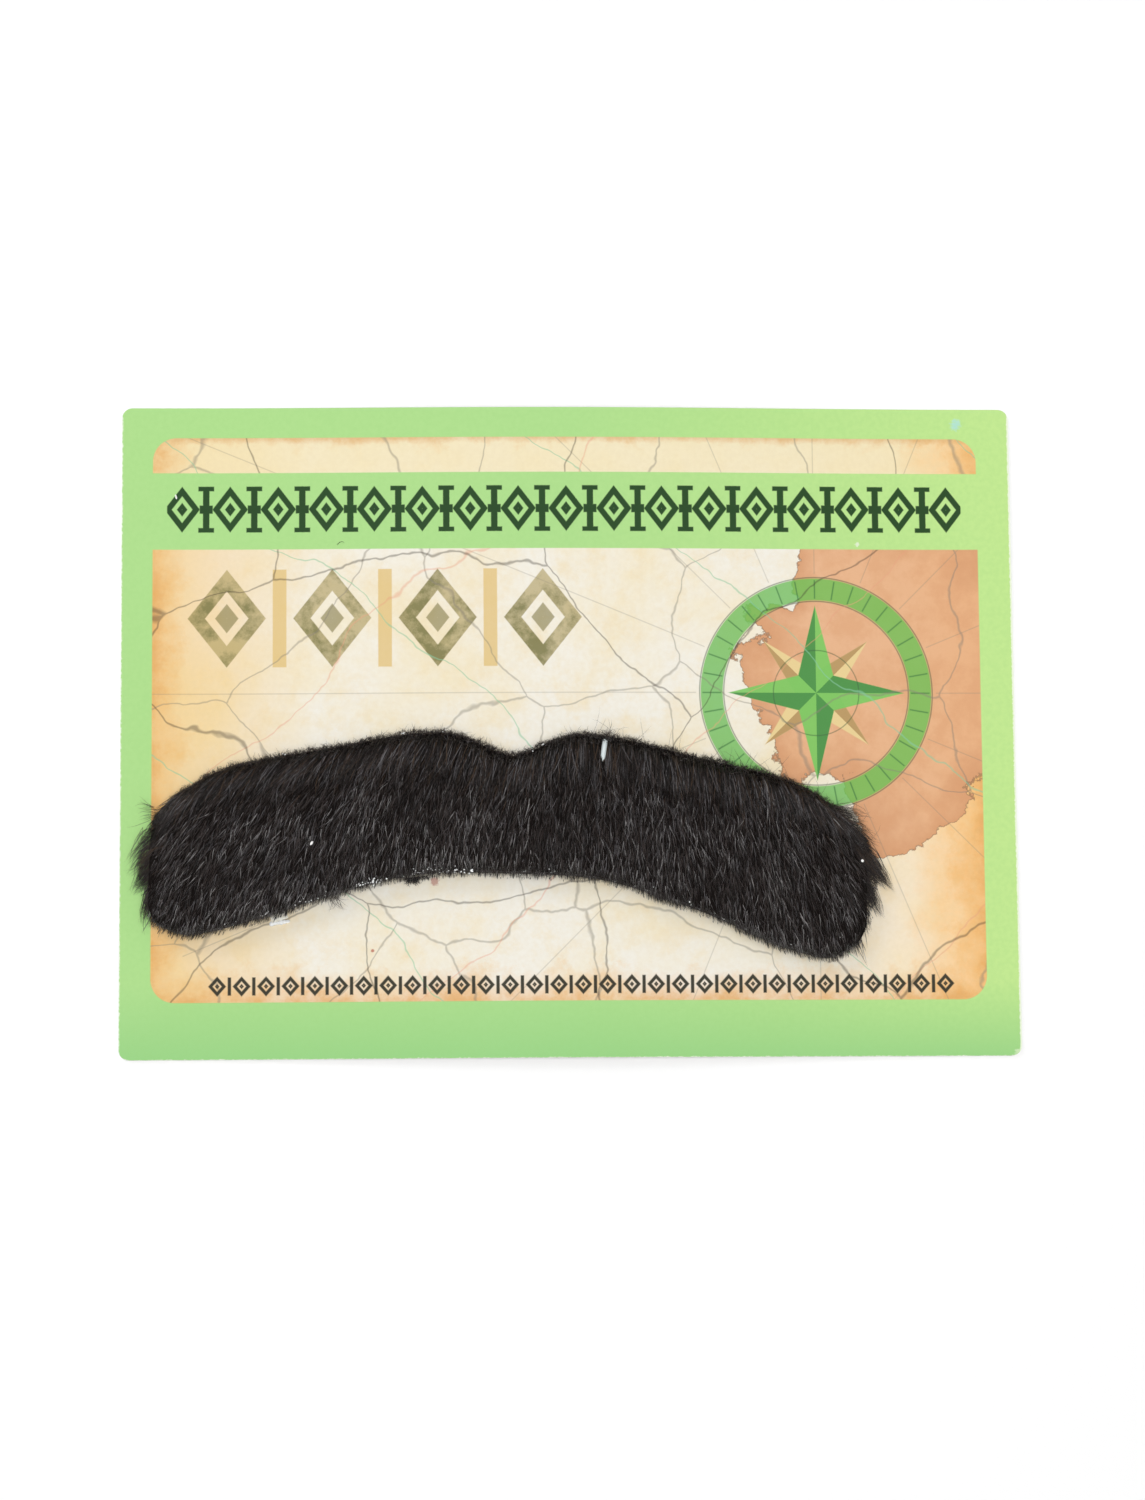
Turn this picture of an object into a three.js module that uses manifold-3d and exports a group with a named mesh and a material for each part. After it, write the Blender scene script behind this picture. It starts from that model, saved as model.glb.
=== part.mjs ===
// A false moustache of dark pile fabric, stuck and tag-pinned to a plain backing card.
// Millimetres. The card lies along XY with its top edge towards +Y, and +Z is up.
// The origin is on the surface under the middle of the card.

import * as THREE from 'three';
import { mergeVertices } from 'three/addons/utils/BufferGeometryUtils.js';
import Module from 'manifold-3d';

const wasm = await Module();
wasm.setup();

// Backing card: thin board, raised along its middle by the pin's bar behind it
const cardWidth = 170;
const cardHeight = 124.4;
const cardThickness = 0.6;
const cardCornerRadius = 2;
const cardLift = 2;
const cardFlatMargin = 8;

// Moustache: its place on the card, its outline's two sizes, and its layers
const furCentreX = -11.4;
const furCentreY = -16.5;
const furTilt = -1.95;
const furSpan = 139;
const furDepth = 22.8;
const fabricThickness = 1;
const fabricInset = 0.9;
const pileHeight = 5.4;
const underPileHeight = 1.7;
const lockRootDepth = 0.5;
const underPileRootDepth = 0.65;

// Locks of the pile
const lockSpacing = 5.8;
const lockOverlap = 1.35;
const topFuzz = 0.7;
const endFuzz = 1.2;
const wispWidth = 1.7;
const wispThickness = 1.1;
const wispRootDepth = 4.9;

// Double-sided tape between the fabric and the card
const tapeThickness = 0.3;
const tapeInset = 2;
const tapeTabWidth = 3.2;
const tapeTabReach = 0.5;

// Tag pin: a bar in front, a thread through the card and a bar behind
const pinBarLength = 8;
const pinBarDiameter = 1;
const pinThreadDiameter = 0.6;
const pinAlong = 16.9;
const pinBelowTopEdge = 4.8;
const pinLean = 8;
const pressedPileHeight = 1.2;

// Clearances
const seatGap = 0.3;
const pinClearance = 0.3;

// Steps of the faceted forms
const bowSteps = 16;
const edgeSteps = 40;
const lockSteps = 4;
const roundSides = 10;
const throughAll = 40;
const smallestEdge = 0.03;

// Outline of one half, the other half is its mirror image.
// along is a share of half the span, top and bottom are shares of the depth at the middle.
const halfOutline = [
  { along: 0.0, top: 0.5, bottom: -0.5 },
  { along: 0.06, top: 0.555, bottom: -0.5 },
  { along: 0.12, top: 0.64, bottom: -0.502 },
  { along: 0.19, top: 0.682, bottom: -0.51 },
  { along: 0.3, top: 0.65, bottom: -0.56 },
  { along: 0.45, top: 0.555, bottom: -0.7 },
  { along: 0.6, top: 0.462, bottom: -0.885 },
  { along: 0.72, top: 0.384, bottom: -1.005 },
  { along: 0.8, top: 0.295, bottom: -1.075 },
  { along: 0.87, top: 0.17, bottom: -1.105 },
  { along: 0.93, top: 0.01, bottom: -1.06 },
  { along: 0.97, top: -0.14, bottom: -0.95 },
  { along: 1.0, top: -0.4, bottom: -0.64 },
];

// The way the pile is combed: along is a share of half the span, and lean is the angle in
// degrees between the hair and straight down, positive when the tips point to the left.
const combing = [
  { along: -1.0, lean: 36 },
  { along: -0.6, lean: 27 },
  { along: -0.2, lean: 15 },
  { along: 0.1, lean: 6 },
  { along: 0.35, lean: 0 },
  { along: 0.6, lean: -11 },
  { along: 0.85, lean: -24 },
  { along: 1.0, lean: -38 },
];

// Height of the pile across the band: across runs from 0 at the clipped lower edge to 1 at
// the top edge, and height is a share of the pile height.
const pileProfile = [
  { across: 0.0, height: 0.66 },
  { across: 0.18, height: 0.92 },
  { across: 0.45, height: 1.0 },
  { across: 0.75, height: 0.84 },
  { across: 1.0, height: 0.45 },
];

// Height of the pile along the band, which falls off towards the two ends
const endProfile = [
  { along: 0.0, height: 1.0 },
  { along: 0.8, height: 1.0 },
  { along: 0.92, height: 0.86 },
  { along: 1.0, height: 0.56 },
];

// Rows of locks: root is where a row starts across the band, length is a share of the band's
// depth there, and shift is the first lock's place in lock spacings from the left end.
const lockRows = [
  { root: 1.0, length: 0.62, shift: 0.3 },
  { root: 0.68, length: 0.6, shift: 0.7 },
  { root: 0.36, length: 0.62, shift: 0.46 },
];

// How far single locks differ: the angles are in degrees, the others are shares.
const lockVariety = { lean: 7, curl: 14, length: 0.12, width: 0.2, height: 0.12, rootDepth: 0.4 };

// A lock's form along its length: width and height are shares of its own.
const lockForm = [
  { at: 0.0, width: 0.7, height: 0.84 },
  { at: 0.25, width: 0.98, height: 1.0 },
  { at: 0.5, width: 1.0, height: 1.06 },
  { at: 0.75, width: 0.82, height: 1.06 },
  { at: 1.0, width: 0.34, height: 0.92 },
];

// A lock's section: across is a share of half its width, up of its height.
const lockSection = [
  { across: -1.0, up: 0.0 },
  { across: 1.0, up: 0.0 },
  { across: 0.72, up: 0.72 },
  { across: 0.0, up: 1.0 },
  { across: -0.72, up: 0.72 },
];

// Loose wisps past the two ends: across is the root's place on the band, reach is a share of
// the depth at the middle, lean is as in the combing and rise is a share of the pile height.
const wisps = [
  { side: -1, across: 0.8, reach: 0.12, lean: 66, rise: 0.35 },
  { side: -1, across: 0.5, reach: 0.19, lean: 52, rise: 0.5 },
  { side: -1, across: 0.25, reach: 0.16, lean: 40, rise: 0.4 },
  { side: 1, across: 0.82, reach: 0.12, lean: -70, rise: 0.35 },
  { side: 1, across: 0.5, reach: 0.17, lean: -54, rise: 0.5 },
  { side: 1, across: 0.22, reach: 0.13, lean: -38, rise: 0.4 },
];

// Where the tape's corner shows under the lower edge, as a share of half the span
const tapeTabAlong = -0.617;

const cardTop = cardThickness;
const tapeBottom = cardTop + seatGap;
const tapeTop = tapeBottom + tapeThickness;
const fabricBottom = tapeTop + seatGap;
const fabricTop = fabricBottom + fabricThickness;
const pressedPileTop = fabricTop + pressedPileHeight;
const radians = Math.PI / 180;

// Height of the card's underside above the surface, flat at both short ends
function liftAt(x) {
  const bowedHalf = cardWidth / 2 - cardFlatMargin;
  if (Math.abs(x) >= bowedHalf) {
    return 0;
  }
  return cardLift * (0.5 + 0.5 * Math.cos((Math.PI * x) / bowedHalf));
}

// Smooth curve through one column of a table, read at a place along another column
function readTable(rows, place, column, at) {
  const last = rows.length - 1;
  const clamped = Math.min(Math.max(at, rows[0][place]), rows[last][place]);
  let index = 0;
  while (index < last - 1 && clamped > rows[index + 1][place]) {
    index += 1;
  }
  const slope = (left, right) => {
    const a = rows[Math.max(left, 0)];
    const b = rows[Math.min(right, last)];
    return (b[column] - a[column]) / (b[place] - a[place]);
  };
  const start = rows[index];
  const end = rows[index + 1];
  const width = end[place] - start[place];
  const t = (clamped - start[place]) / width;
  const startSlope = slope(index - 1, index + 1) * width;
  const endSlope = slope(index, index + 2) * width;
  const blend = t * t * (3 - 2 * t);
  const startPull = t * (1 - t) * (1 - t) * startSlope;
  const endPull = t * t * (t - 1) * endSlope;
  return start[column] * (1 - blend) + end[column] * blend + startPull + endPull;
}

// The band's upper and lower edges at a distance along it, in its own frame
function topEdge(along) {
  return furDepth * readTable(halfOutline, 'along', 'top', Math.abs(along) / (furSpan / 2));
}

function bottomEdge(along) {
  return furDepth * readTable(halfOutline, 'along', 'bottom', Math.abs(along) / (furSpan / 2));
}

// A point of the band's own frame on the card
function onCard(along, across) {
  const place = new THREE.Vector2(along, across);
  place.rotateAround(new THREE.Vector2(0, 0), furTilt * radians);
  return place.add(new THREE.Vector2(furCentreX, furCentreY));
}

// Repeatable scatter from 0 to 1
function scatter(index, channel) {
  const value = Math.sin(index * 12.9898 + channel * 78.233) * 43758.5453;
  return value - Math.floor(value);
}

// A closed three.js geometry as a solid that can be cut and joined
function solidOf(geometry) {
  const bare = geometry.index ? geometry.toNonIndexed() : geometry.clone();
  bare.deleteAttribute('normal');
  bare.deleteAttribute('uv');
  const merged = mergeVertices(bare, 1e-4);
  const vertProperties = new Float32Array(merged.attributes.position.array);
  const triVerts = new Uint32Array(merged.index.array);
  return new wasm.Manifold(new wasm.Mesh({ numProp: 3, vertProperties, triVerts }));
}

// A finished solid as a named mesh, without the slivers that joining leaves
function pieceOf(name, solid, material) {
  const mesh = solid.simplify(smallestEdge).getMesh();
  const geometry = new THREE.BufferGeometry();
  geometry.setAttribute('position', new THREE.BufferAttribute(new Float32Array(mesh.vertProperties), 3));
  geometry.setIndex(new THREE.BufferAttribute(new Uint32Array(mesh.triVerts), 1));
  geometry.computeVertexNormals();
  const piece = new THREE.Mesh(geometry, material);
  piece.name = name;
  return piece;
}

// An upright prism through everything
function prismOf(shape, curveSegments) {
  const settings = { depth: throughAll, bevelEnabled: false, curveSegments };
  const prism = new THREE.ExtrudeGeometry(shape, settings);
  prism.translate(0, 0, -throughAll / 2);
  return solidOf(prism);
}

// A layer that follows the card's bow between two heights above the card's underside
function bowedLayer(low, high) {
  const bowedHalf = cardWidth / 2 - cardFlatMargin;
  const stations = [-cardWidth / 2];
  for (let step = 0; step <= bowSteps; step += 1) {
    stations.push(-bowedHalf + (2 * bowedHalf * step) / bowSteps);
  }
  stations.push(cardWidth / 2);
  const profile = new THREE.Shape();
  profile.moveTo(stations[0], low + liftAt(stations[0]));
  for (const x of stations.slice(1)) {
    profile.lineTo(x, low + liftAt(x));
  }
  for (const x of [...stations].reverse()) {
    profile.lineTo(x, high + liftAt(x));
  }
  const layer = new THREE.ExtrudeGeometry(profile, { depth: cardHeight, bevelEnabled: false });
  layer.translate(0, 0, -cardHeight / 2);
  layer.rotateX(Math.PI / 2);
  return solidOf(layer);
}

// The band's outline on the card, moved in by one distance along its lower edge and ends,
// and by another along its top edge
function furOutline(lowerInset, upperInset, endInset) {
  const edge = [];
  for (let step = 0; step <= edgeSteps; step += 1) {
    const along = -Math.cos((Math.PI * step) / edgeSteps) * (furSpan / 2);
    edge.push(new THREE.Vector2(along, bottomEdge(along)));
  }
  for (let step = edgeSteps; step >= 0; step -= 1) {
    const along = -Math.cos((Math.PI * step) / edgeSteps) * (furSpan / 2);
    edge.push(new THREE.Vector2(along, topEdge(along)));
  }
  const count = edge.length;
  return new THREE.Shape(edge.map((point, index) => {
    const before = edge[(index + count - 1) % count];
    const after = edge[(index + 1) % count];
    const inward = after.clone().sub(before).normalize();
    inward.set(-inward.y, inward.x);
    const level = inward.y > 0 ? lowerInset : upperInset;
    const inset = THREE.MathUtils.lerp(level, endInset, inward.x * inward.x);
    return onCard(point.x + inward.x * inset, point.y + inward.y * inset);
  }));
}

// A hole for the pin's thread, and the pin's place
function pinPlace() {
  return onCard(pinAlong, topEdge(pinAlong) - pinBelowTopEdge);
}

function threadHole() {
  const radius = pinThreadDiameter / 2 + pinClearance;
  const hole = new THREE.CylinderGeometry(radius, radius, throughAll, roundSides);
  hole.rotateX(Math.PI / 2);
  hole.translate(pinPlace().x, pinPlace().y, 0);
  return solidOf(hole);
}

// Backing card
function makeCard() {
  const halfWidth = cardWidth / 2;
  const halfHeight = cardHeight / 2;
  const radius = cardCornerRadius;
  const outline = new THREE.Shape();
  outline.moveTo(-halfWidth + radius, -halfHeight);
  outline.lineTo(halfWidth - radius, -halfHeight);
  outline.absarc(halfWidth - radius, -halfHeight + radius, radius, -Math.PI / 2, 0);
  outline.absarc(halfWidth - radius, halfHeight - radius, radius, 0, Math.PI / 2);
  outline.absarc(-halfWidth + radius, halfHeight - radius, radius, Math.PI / 2, Math.PI);
  outline.absarc(-halfWidth + radius, -halfHeight + radius, radius, Math.PI, Math.PI * 1.5);
  return bowedLayer(0, cardTop).intersect(prismOf(outline, 4)).subtract(threadHole());
}

// Tape under the fabric, with one corner that shows past the lower edge
function makeTape() {
  const along = tapeTabAlong * (furSpan / 2);
  const reach = tapeInset * 2 + tapeTabReach;
  const tab = new THREE.BoxGeometry(tapeTabWidth, reach, throughAll);
  tab.translate(0, reach / 2 - tapeTabReach, 0);
  const rise = bottomEdge(along + tapeTabWidth / 2) - bottomEdge(along - tapeTabWidth / 2);
  tab.rotateZ(furTilt * radians + Math.atan2(rise, tapeTabWidth));
  const place = onCard(along, bottomEdge(along));
  tab.translate(place.x, place.y, 0);
  const outline = prismOf(furOutline(tapeInset, tapeInset, tapeInset)).add(solidOf(tab));
  return bowedLayer(tapeBottom, tapeTop).intersect(outline).subtract(threadHole());
}

// One lock of pile: a five-sided section run along the combing, standing in the fabric
function makeLock(root, lean, length, halfWidth, height, rootDepth, curl) {
  const section = new THREE.Shape(lockSection.map(({ across, up }) => new THREE.Vector2(across, up)));
  const lock = new THREE.ExtrudeGeometry(section, { depth: 1, steps: lockSteps, bevelEnabled: false });
  const position = lock.attributes.position;
  const floor = fabricTop - rootDepth;
  for (let index = 0; index < position.count; index += 1) {
    const at = position.getZ(index);
    const angle = (lean + curl * at) * radians;
    const along = root.x - Math.sin(angle) * length * at;
    const across = root.y - Math.cos(angle) * length * at;
    const side = position.getX(index) * halfWidth * readTable(lockForm, 'at', 'width', at);
    const place = onCard(along + Math.cos(angle) * side, across - Math.sin(angle) * side);
    const share = (across - bottomEdge(along)) / (topEdge(along) - bottomEdge(along));
    const profile = readTable(pileProfile, 'across', 'height', share)
      * readTable(endProfile, 'along', 'height', Math.abs(along) / (furSpan / 2));
    const crest = fabricTop + height * profile * readTable(lockForm, 'at', 'height', at);
    const up = THREE.MathUtils.lerp(floor, crest, position.getY(index));
    position.setXYZ(index, place.x, place.y, up + liftAt(place.x));
  }
  return solidOf(lock);
}

// The pile: rows of overlapping locks, from the top edge to the clipped lower edge
function makePile() {
  const locks = [];
  const half = furSpan / 2;
  lockRows.forEach((row, rowIndex) => {
    const count = Math.round(furSpan / lockSpacing);
    for (let index = 0; index < count; index += 1) {
      const seed = rowIndex * 100 + index;
      const along = -half + (furSpan * (index + row.shift)) / count;
      const depth = topEdge(along) - bottomEdge(along);
      const root = new THREE.Vector2(along, bottomEdge(along) + depth * row.root);
      const vary = (channel, amount) => (scatter(seed, channel) - 0.5) * amount;
      const lean = readTable(combing, 'along', 'lean', along / half) + vary(1, lockVariety.lean);
      const length = Math.max(depth, furDepth / 2) * row.length * (1 + vary(2, lockVariety.length));
      const spacing = furSpan / count;
      const halfWidth = (spacing / 2) * lockOverlap * (1 + vary(3, lockVariety.width));
      const height = pileHeight * (1 - lockVariety.height * scatter(seed, 4));
      const curl = vary(5, lockVariety.curl);
      const rootDepth = lockRootDepth * (1 + vary(6, lockVariety.rootDepth));
      locks.push(makeLock(root, lean, length, halfWidth, height, rootDepth, curl));
    }
  });
  return locks.reduce((pile, lock) => pile.add(lock));
}

// The dense short pile between the locks
function makeUnderPile() {
  return bowedLayer(fabricTop - underPileRootDepth, fabricTop + underPileHeight)
    .intersect(prismOf(furOutline(-lockSpacing / 2, topFuzz, endFuzz)));
}

// A loose wisp: a thin cone from inside the pile to past the end
function makeWisp({ side, across, reach, lean, rise }) {
  const along = side * (furSpan / 2 - wispRootDepth);
  const low = bottomEdge(along);
  const start = new THREE.Vector2(along, low + (topEdge(along) - low) * across);
  const length = reach * furDepth + wispRootDepth;
  const way = new THREE.Vector2(-Math.sin(lean * radians), -Math.cos(lean * radians));
  const end = start.clone().addScaledVector(way, length);
  const height = fabricTop + pileHeight * rise;
  const from = onCard(start.x, start.y);
  const to = onCard(end.x, end.y);
  const wisp = new THREE.ConeGeometry(0.5, 1, 6);
  wisp.translate(0, 0.5, 0);
  wisp.scale(wispWidth, from.distanceTo(to), wispThickness);
  wisp.rotateZ(Math.atan2(to.y - from.y, to.x - from.x) - Math.PI / 2);
  wisp.translate(from.x, from.y, height + liftAt(from.x));
  return solidOf(wisp);
}

// The parting that the pin's front bar lies in: the pile under it is pressed down, and it is
// open at the top edge
function pinParting() {
  const width = pinBarDiameter + 2 * pinClearance;
  const length = pinBarLength / 2 + pinClearance + pinBelowTopEdge + topFuzz * 2;
  const parting = new THREE.BoxGeometry(width, length, throughAll);
  parting.translate(0, length / 2 - pinBarLength / 2 - pinClearance, throughAll / 2);
  parting.rotateZ(-pinLean * radians);
  const place = pinPlace();
  parting.translate(place.x, place.y, pressedPileTop + liftAt(place.x));
  return solidOf(parting);
}

// The fur: knitted backing with the pile fused to it
function makeFur() {
  const fabric = bowedLayer(fabricBottom, fabricTop)
    .intersect(prismOf(furOutline(fabricInset, fabricInset, fabricInset)));
  const clipped = makePile().add(makeUnderPile())
    .intersect(prismOf(furOutline(0, -topFuzz, -endFuzz)));
  const body = fabric.add(clipped);
  return wisps.reduce((fur, wisp) => fur.add(makeWisp(wisp)), body)
    .subtract(pinParting())
    .subtract(threadHole());
}

// Tag pin, one clear moulding
function makePin() {
  const place = pinPlace();
  const lift = liftAt(place.x);
  const radius = pinBarDiameter / 2;
  const frontHeight = lift + pressedPileTop + seatGap + radius;
  const backHeight = lift - seatGap - radius;
  const thread = new THREE.CylinderGeometry(
    pinThreadDiameter / 2, pinThreadDiameter / 2, frontHeight - backHeight, roundSides);
  thread.rotateX(Math.PI / 2);
  thread.translate(place.x, place.y, (frontHeight + backHeight) / 2);
  const bars = [frontHeight, backHeight].map((height) => {
    const bar = new THREE.CylinderGeometry(radius, radius, pinBarLength, roundSides);
    bar.rotateZ(-pinLean * radians);
    bar.translate(place.x, place.y, height);
    return solidOf(bar);
  });
  return bars.reduce((pin, bar) => pin.add(bar), solidOf(thread));
}

const cardPrint = new THREE.MeshStandardMaterial({ color: 0xb4df90, roughness: 0.6, metalness: 0 });
const whiteTape = new THREE.MeshStandardMaterial({ color: 0xe6e2d6, roughness: 0.5, metalness: 0 });
const darkPile = new THREE.MeshStandardMaterial({ color: 0x2c2726, roughness: 0.85, metalness: 0 });
const clearPlastic = new THREE.MeshStandardMaterial({ color: 0xe8eaec, roughness: 0.3, metalness: 0 });

const moustacheOnCard = new THREE.Group();
moustacheOnCard.add(pieceOf('card', makeCard(), cardPrint));
moustacheOnCard.add(pieceOf('adhesive_tape', makeTape(), whiteTape));
moustacheOnCard.add(pieceOf('fur_moustache', makeFur(), darkPile));
moustacheOnCard.add(pieceOf('tag_pin', makePin(), clearPlastic));

export default moustacheOnCard;
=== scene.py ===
"""A false moustache of dark pile fabric on its printed card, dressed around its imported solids.

Blender 4.5. Builder functions work in millimetres, and meshes are written in metres.
The card lies along XY with its top edge towards +Y, and +Z is up.
"""
import math
from functools import partial

import bmesh
import bpy
import numpy as np
from mathutils import Matrix, Vector


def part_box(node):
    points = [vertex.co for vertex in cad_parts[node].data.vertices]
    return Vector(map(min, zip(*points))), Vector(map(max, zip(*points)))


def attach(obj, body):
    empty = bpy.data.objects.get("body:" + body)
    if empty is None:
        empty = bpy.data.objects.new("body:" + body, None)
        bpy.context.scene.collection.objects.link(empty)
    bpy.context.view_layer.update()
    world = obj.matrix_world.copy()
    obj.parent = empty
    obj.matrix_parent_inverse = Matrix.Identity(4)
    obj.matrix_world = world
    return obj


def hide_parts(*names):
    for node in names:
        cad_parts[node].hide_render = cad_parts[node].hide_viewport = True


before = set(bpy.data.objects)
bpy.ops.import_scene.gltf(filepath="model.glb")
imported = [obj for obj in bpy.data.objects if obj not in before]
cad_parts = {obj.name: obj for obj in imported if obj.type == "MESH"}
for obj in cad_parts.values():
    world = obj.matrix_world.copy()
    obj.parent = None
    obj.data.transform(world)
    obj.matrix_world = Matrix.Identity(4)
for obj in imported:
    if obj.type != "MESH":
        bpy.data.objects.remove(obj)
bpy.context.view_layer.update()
MM = 0.001


# Sizes in millimetres: those of the solids come from the frame

def box_mm(node):
    """Lowest and highest corner of a CAD node in millimetres."""
    low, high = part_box(node)
    return low / MM, high / MM


CARD_LOW, CARD_HIGH = box_mm("card")
CARD_WIDTH = CARD_HIGH.x - CARD_LOW.x
CARD_HEIGHT = CARD_HIGH.y - CARD_LOW.y
CARD_THICKNESS = 0.6
CARD_LIFT = CARD_HIGH.z - CARD_THICKNESS
CARD_FLAT_MARGIN = 8
CARD_CORNER_RADIUS = 2
CARD_CUTS = 2.5

FUR_CENTRE = Vector((-11.4, -16.5))
FUR_TILT = math.radians(-1.95)
FUR_SPAN = 139
FUR_HALF = FUR_SPAN / 2
FUR_DEPTH = 22.8
PILE_HEIGHT = 5.4
FABRIC_LOW = 1.5
FABRIC_TOP = 2.5
FABRIC_INSET = 0.9
FABRIC_END_INSET = 1.8

PIN_LOW, PIN_HIGH = box_mm("tag_pin")
PIN_CENTRE = Vector(((PIN_LOW.x + PIN_HIGH.x) / 2, (PIN_LOW.y + PIN_HIGH.y) / 2))
PIN_LEAN = math.radians(8)
PIN_BAR_LENGTH = 8
PIN_BAR_DIAMETER = 1
PIN_THREAD_DIAMETER = 0.6
PIN_SEAT = 0.3
PRESSED_PILE_TOP = 3.7
PIN_BAR_TOP = PRESSED_PILE_TOP + PIN_SEAT + PIN_BAR_DIAMETER

# Outline of one half of the band, the other half is its mirror image. along is a share of
# half the span, top and bottom are shares of the depth at the middle.
HALF_OUTLINE = {
    "along": (0, 0.06, 0.12, 0.19, 0.3, 0.45, 0.6, 0.72, 0.8, 0.87, 0.93, 0.97, 1),
    "top": (0.5, 0.555, 0.64, 0.682, 0.65, 0.555, 0.462, 0.384, 0.295, 0.17, 0.01, -0.14, -0.4),
    "bottom": (-0.5, -0.5, -0.502, -0.51, -0.56, -0.7, -0.885, -1.005, -1.075, -1.105, -1.06,
               -0.95, -0.64),
}
# Angle in degrees between the hair and straight down, positive with the tips to the left
COMBING = {
    "along": (-1, -0.6, -0.2, 0.1, 0.35, 0.6, 0.85, 1),
    "lean": (36, 27, 15, 6, 0, -11, -24, -38),
}
# Height of the pile from the clipped lower edge, 0, to the top edge, 1, and to the two ends
PILE_PROFILE = {"across": (0, 0.18, 0.45, 0.75, 1), "height": (0.66, 0.92, 1, 0.84, 0.45)}
END_PROFILE = {"along": (0, 0.8, 0.92, 1), "height": (1, 1, 0.86, 0.56)}
# Loose wisps past the ends, from the middle of their roots to their tips in the band's frame.
# spread is how wide the roots stand and fray how far the tips part, hairs is a count
WISPS = {
    "root_along": (-65, -66.1, -67, -66.8, -67.3, -66.6, -66.4, -65.1,
                   60.9, 62.4, 64.6, 66.3, 66.6, 66.4, 65.6),
    "root_across": (-7.3, -12.6, -5.5, -8.4, -1, -1.7, -16, -19.2,
                    3, 1.7, -0.2, -4.6, -7, -10.2, -15),
    "tip_along": (-71.1, -70.7, -72.2, -71.6, -70.8, -71.5, -68.7, -67.4,
                  68.2, 68.9, 70.2, 72.9, 72, 70.9, 68.3),
    "tip_across": (-16.8, -17.6, -11.9, -13.8, 0.2, -3.2, -23.1, -24.4,
                   1.1, -1.3, -4.1, -12.6, -12.1, -17.8, -21.3),
    "spread": (1.2, 0.7, 1.3, 1.3, 0.5, 0.6, 1, 1, 0.6, 0.7, 1, 1.2, 1, 0.9, 1.2),
    "fray": (0.35, 0.35, 1.3, 1, 1.9, 1.7, 0.6, 0.8, 1.2, 1.4, 1.5, 0.5, 0.8, 0.5, 1.1),
    "hairs": (250, 70, 60, 80, 9, 11, 100, 40, 60, 40, 40, 200, 110, 130, 45),
}

# Hairs: drawn coarser than the real 0.05 mm fibre, so that single ones still show
HAIR_RADIUS = 0.068
HAIR_LENGTH = 8.6
PILE_HAIRS = 46000
PILE_PIECES = 5
EDGE_HAIRS = 3700
WALL_HAIRS = 3400
STATIONS = (0, 0.36, 0.72, 1)
TAPER = (1, 1, 0.72)

SEED = 1207


def lift_at(x):
    """Height of the card's underside above the surface, flat at both short ends."""
    bowed_half = CARD_WIDTH / 2 - CARD_FLAT_MARGIN
    bow = CARD_LIFT * (0.5 + 0.5 * np.cos(np.pi * np.asarray(x, float) / bowed_half))
    return np.where(np.abs(x) < bowed_half, bow, 0)


def read_table(table, place, column, at):
    """Smooth curve through one column of a table, read at places along another column."""
    x = np.array(table[place], float)
    y = np.array(table[column], float)
    last = len(x) - 1
    left = np.maximum(np.arange(last + 1) - 1, 0)
    right = np.minimum(np.arange(last + 1) + 1, last)
    slope = (y[right] - y[left]) / (x[right] - x[left])
    at = np.clip(at, x[0], x[-1])
    i = np.clip(np.searchsorted(x, at) - 1, 0, last - 1)
    width = x[i + 1] - x[i]
    t = (at - x[i]) / width
    blend = t * t * (3 - 2 * t)
    pull = t * (1 - t) * ((1 - t) * slope[i] - t * slope[i + 1]) * width
    return y[i] * (1 - blend) + y[i + 1] * blend + pull


def top_edge(along):
    """The top edge, which is cut a little fuller on the right half."""
    fuller = 0.45 * np.clip(along / 8, 0, 1) * np.clip((FUR_HALF - 4 - along) / 8, 0, 1)
    fuller = fuller - 1.3 * np.clip((np.abs(along) - 64) / 3, 0, 1)
    return FUR_DEPTH * read_table(HALF_OUTLINE, "along", "top", np.abs(along) / FUR_HALF) + fuller


def bottom_edge(along):
    """The lower edge, which hangs a little lower on the right lobe and in the middle."""
    lower = 0.8 * np.clip((along - 42) / 8, 0, 1) * np.clip((66 - along) / 5, 0, 1)
    lower = lower + 0.6 * np.clip((38 - np.abs(along)) / 8, 0, 1)
    return FUR_DEPTH * read_table(HALF_OUTLINE, "along", "bottom", np.abs(along) / FUR_HALF) - lower


def on_card(along, across):
    """Places of the band's own frame, on the card."""
    turn, rise = math.cos(FUR_TILT), math.sin(FUR_TILT)
    x = FUR_CENTRE.x + along * turn - across * rise
    y = FUR_CENTRE.y + along * rise + across * turn
    return x, y


def pile_height(along, across):
    """Full height of the pile over the fabric at places of the band."""
    low, high = bottom_edge(along), top_edge(along)
    share = np.clip((across - low) / (high - low), 0, 1)
    ends = read_table(END_PROFILE, "along", "height", np.abs(along) / FUR_HALF)
    return PILE_HEIGHT * read_table(PILE_PROFILE, "across", "height", share) * ends


def soft_noise(x, y, cell, seed):
    """A smooth random field from -1 to 1, with one random value for each cell."""
    size = 64
    values = np.random.default_rng(SEED + seed).uniform(-1, 1, (size, size))
    u = np.asarray(x) / cell + 1000
    v = np.asarray(y) / cell + 1000
    i, j = np.floor(u).astype(int), np.floor(v).astype(int)
    s, t = u - i, v - j
    s, t = s * s * (3 - 2 * s), t * t * (3 - 2 * t)
    near = values[i % size, j % size] * (1 - s) + values[(i + 1) % size, j % size] * s
    far = values[i % size, (j + 1) % size] * (1 - s) + values[(i + 1) % size, (j + 1) % size] * s
    return near * (1 - t) + far * t


# Materials

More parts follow.
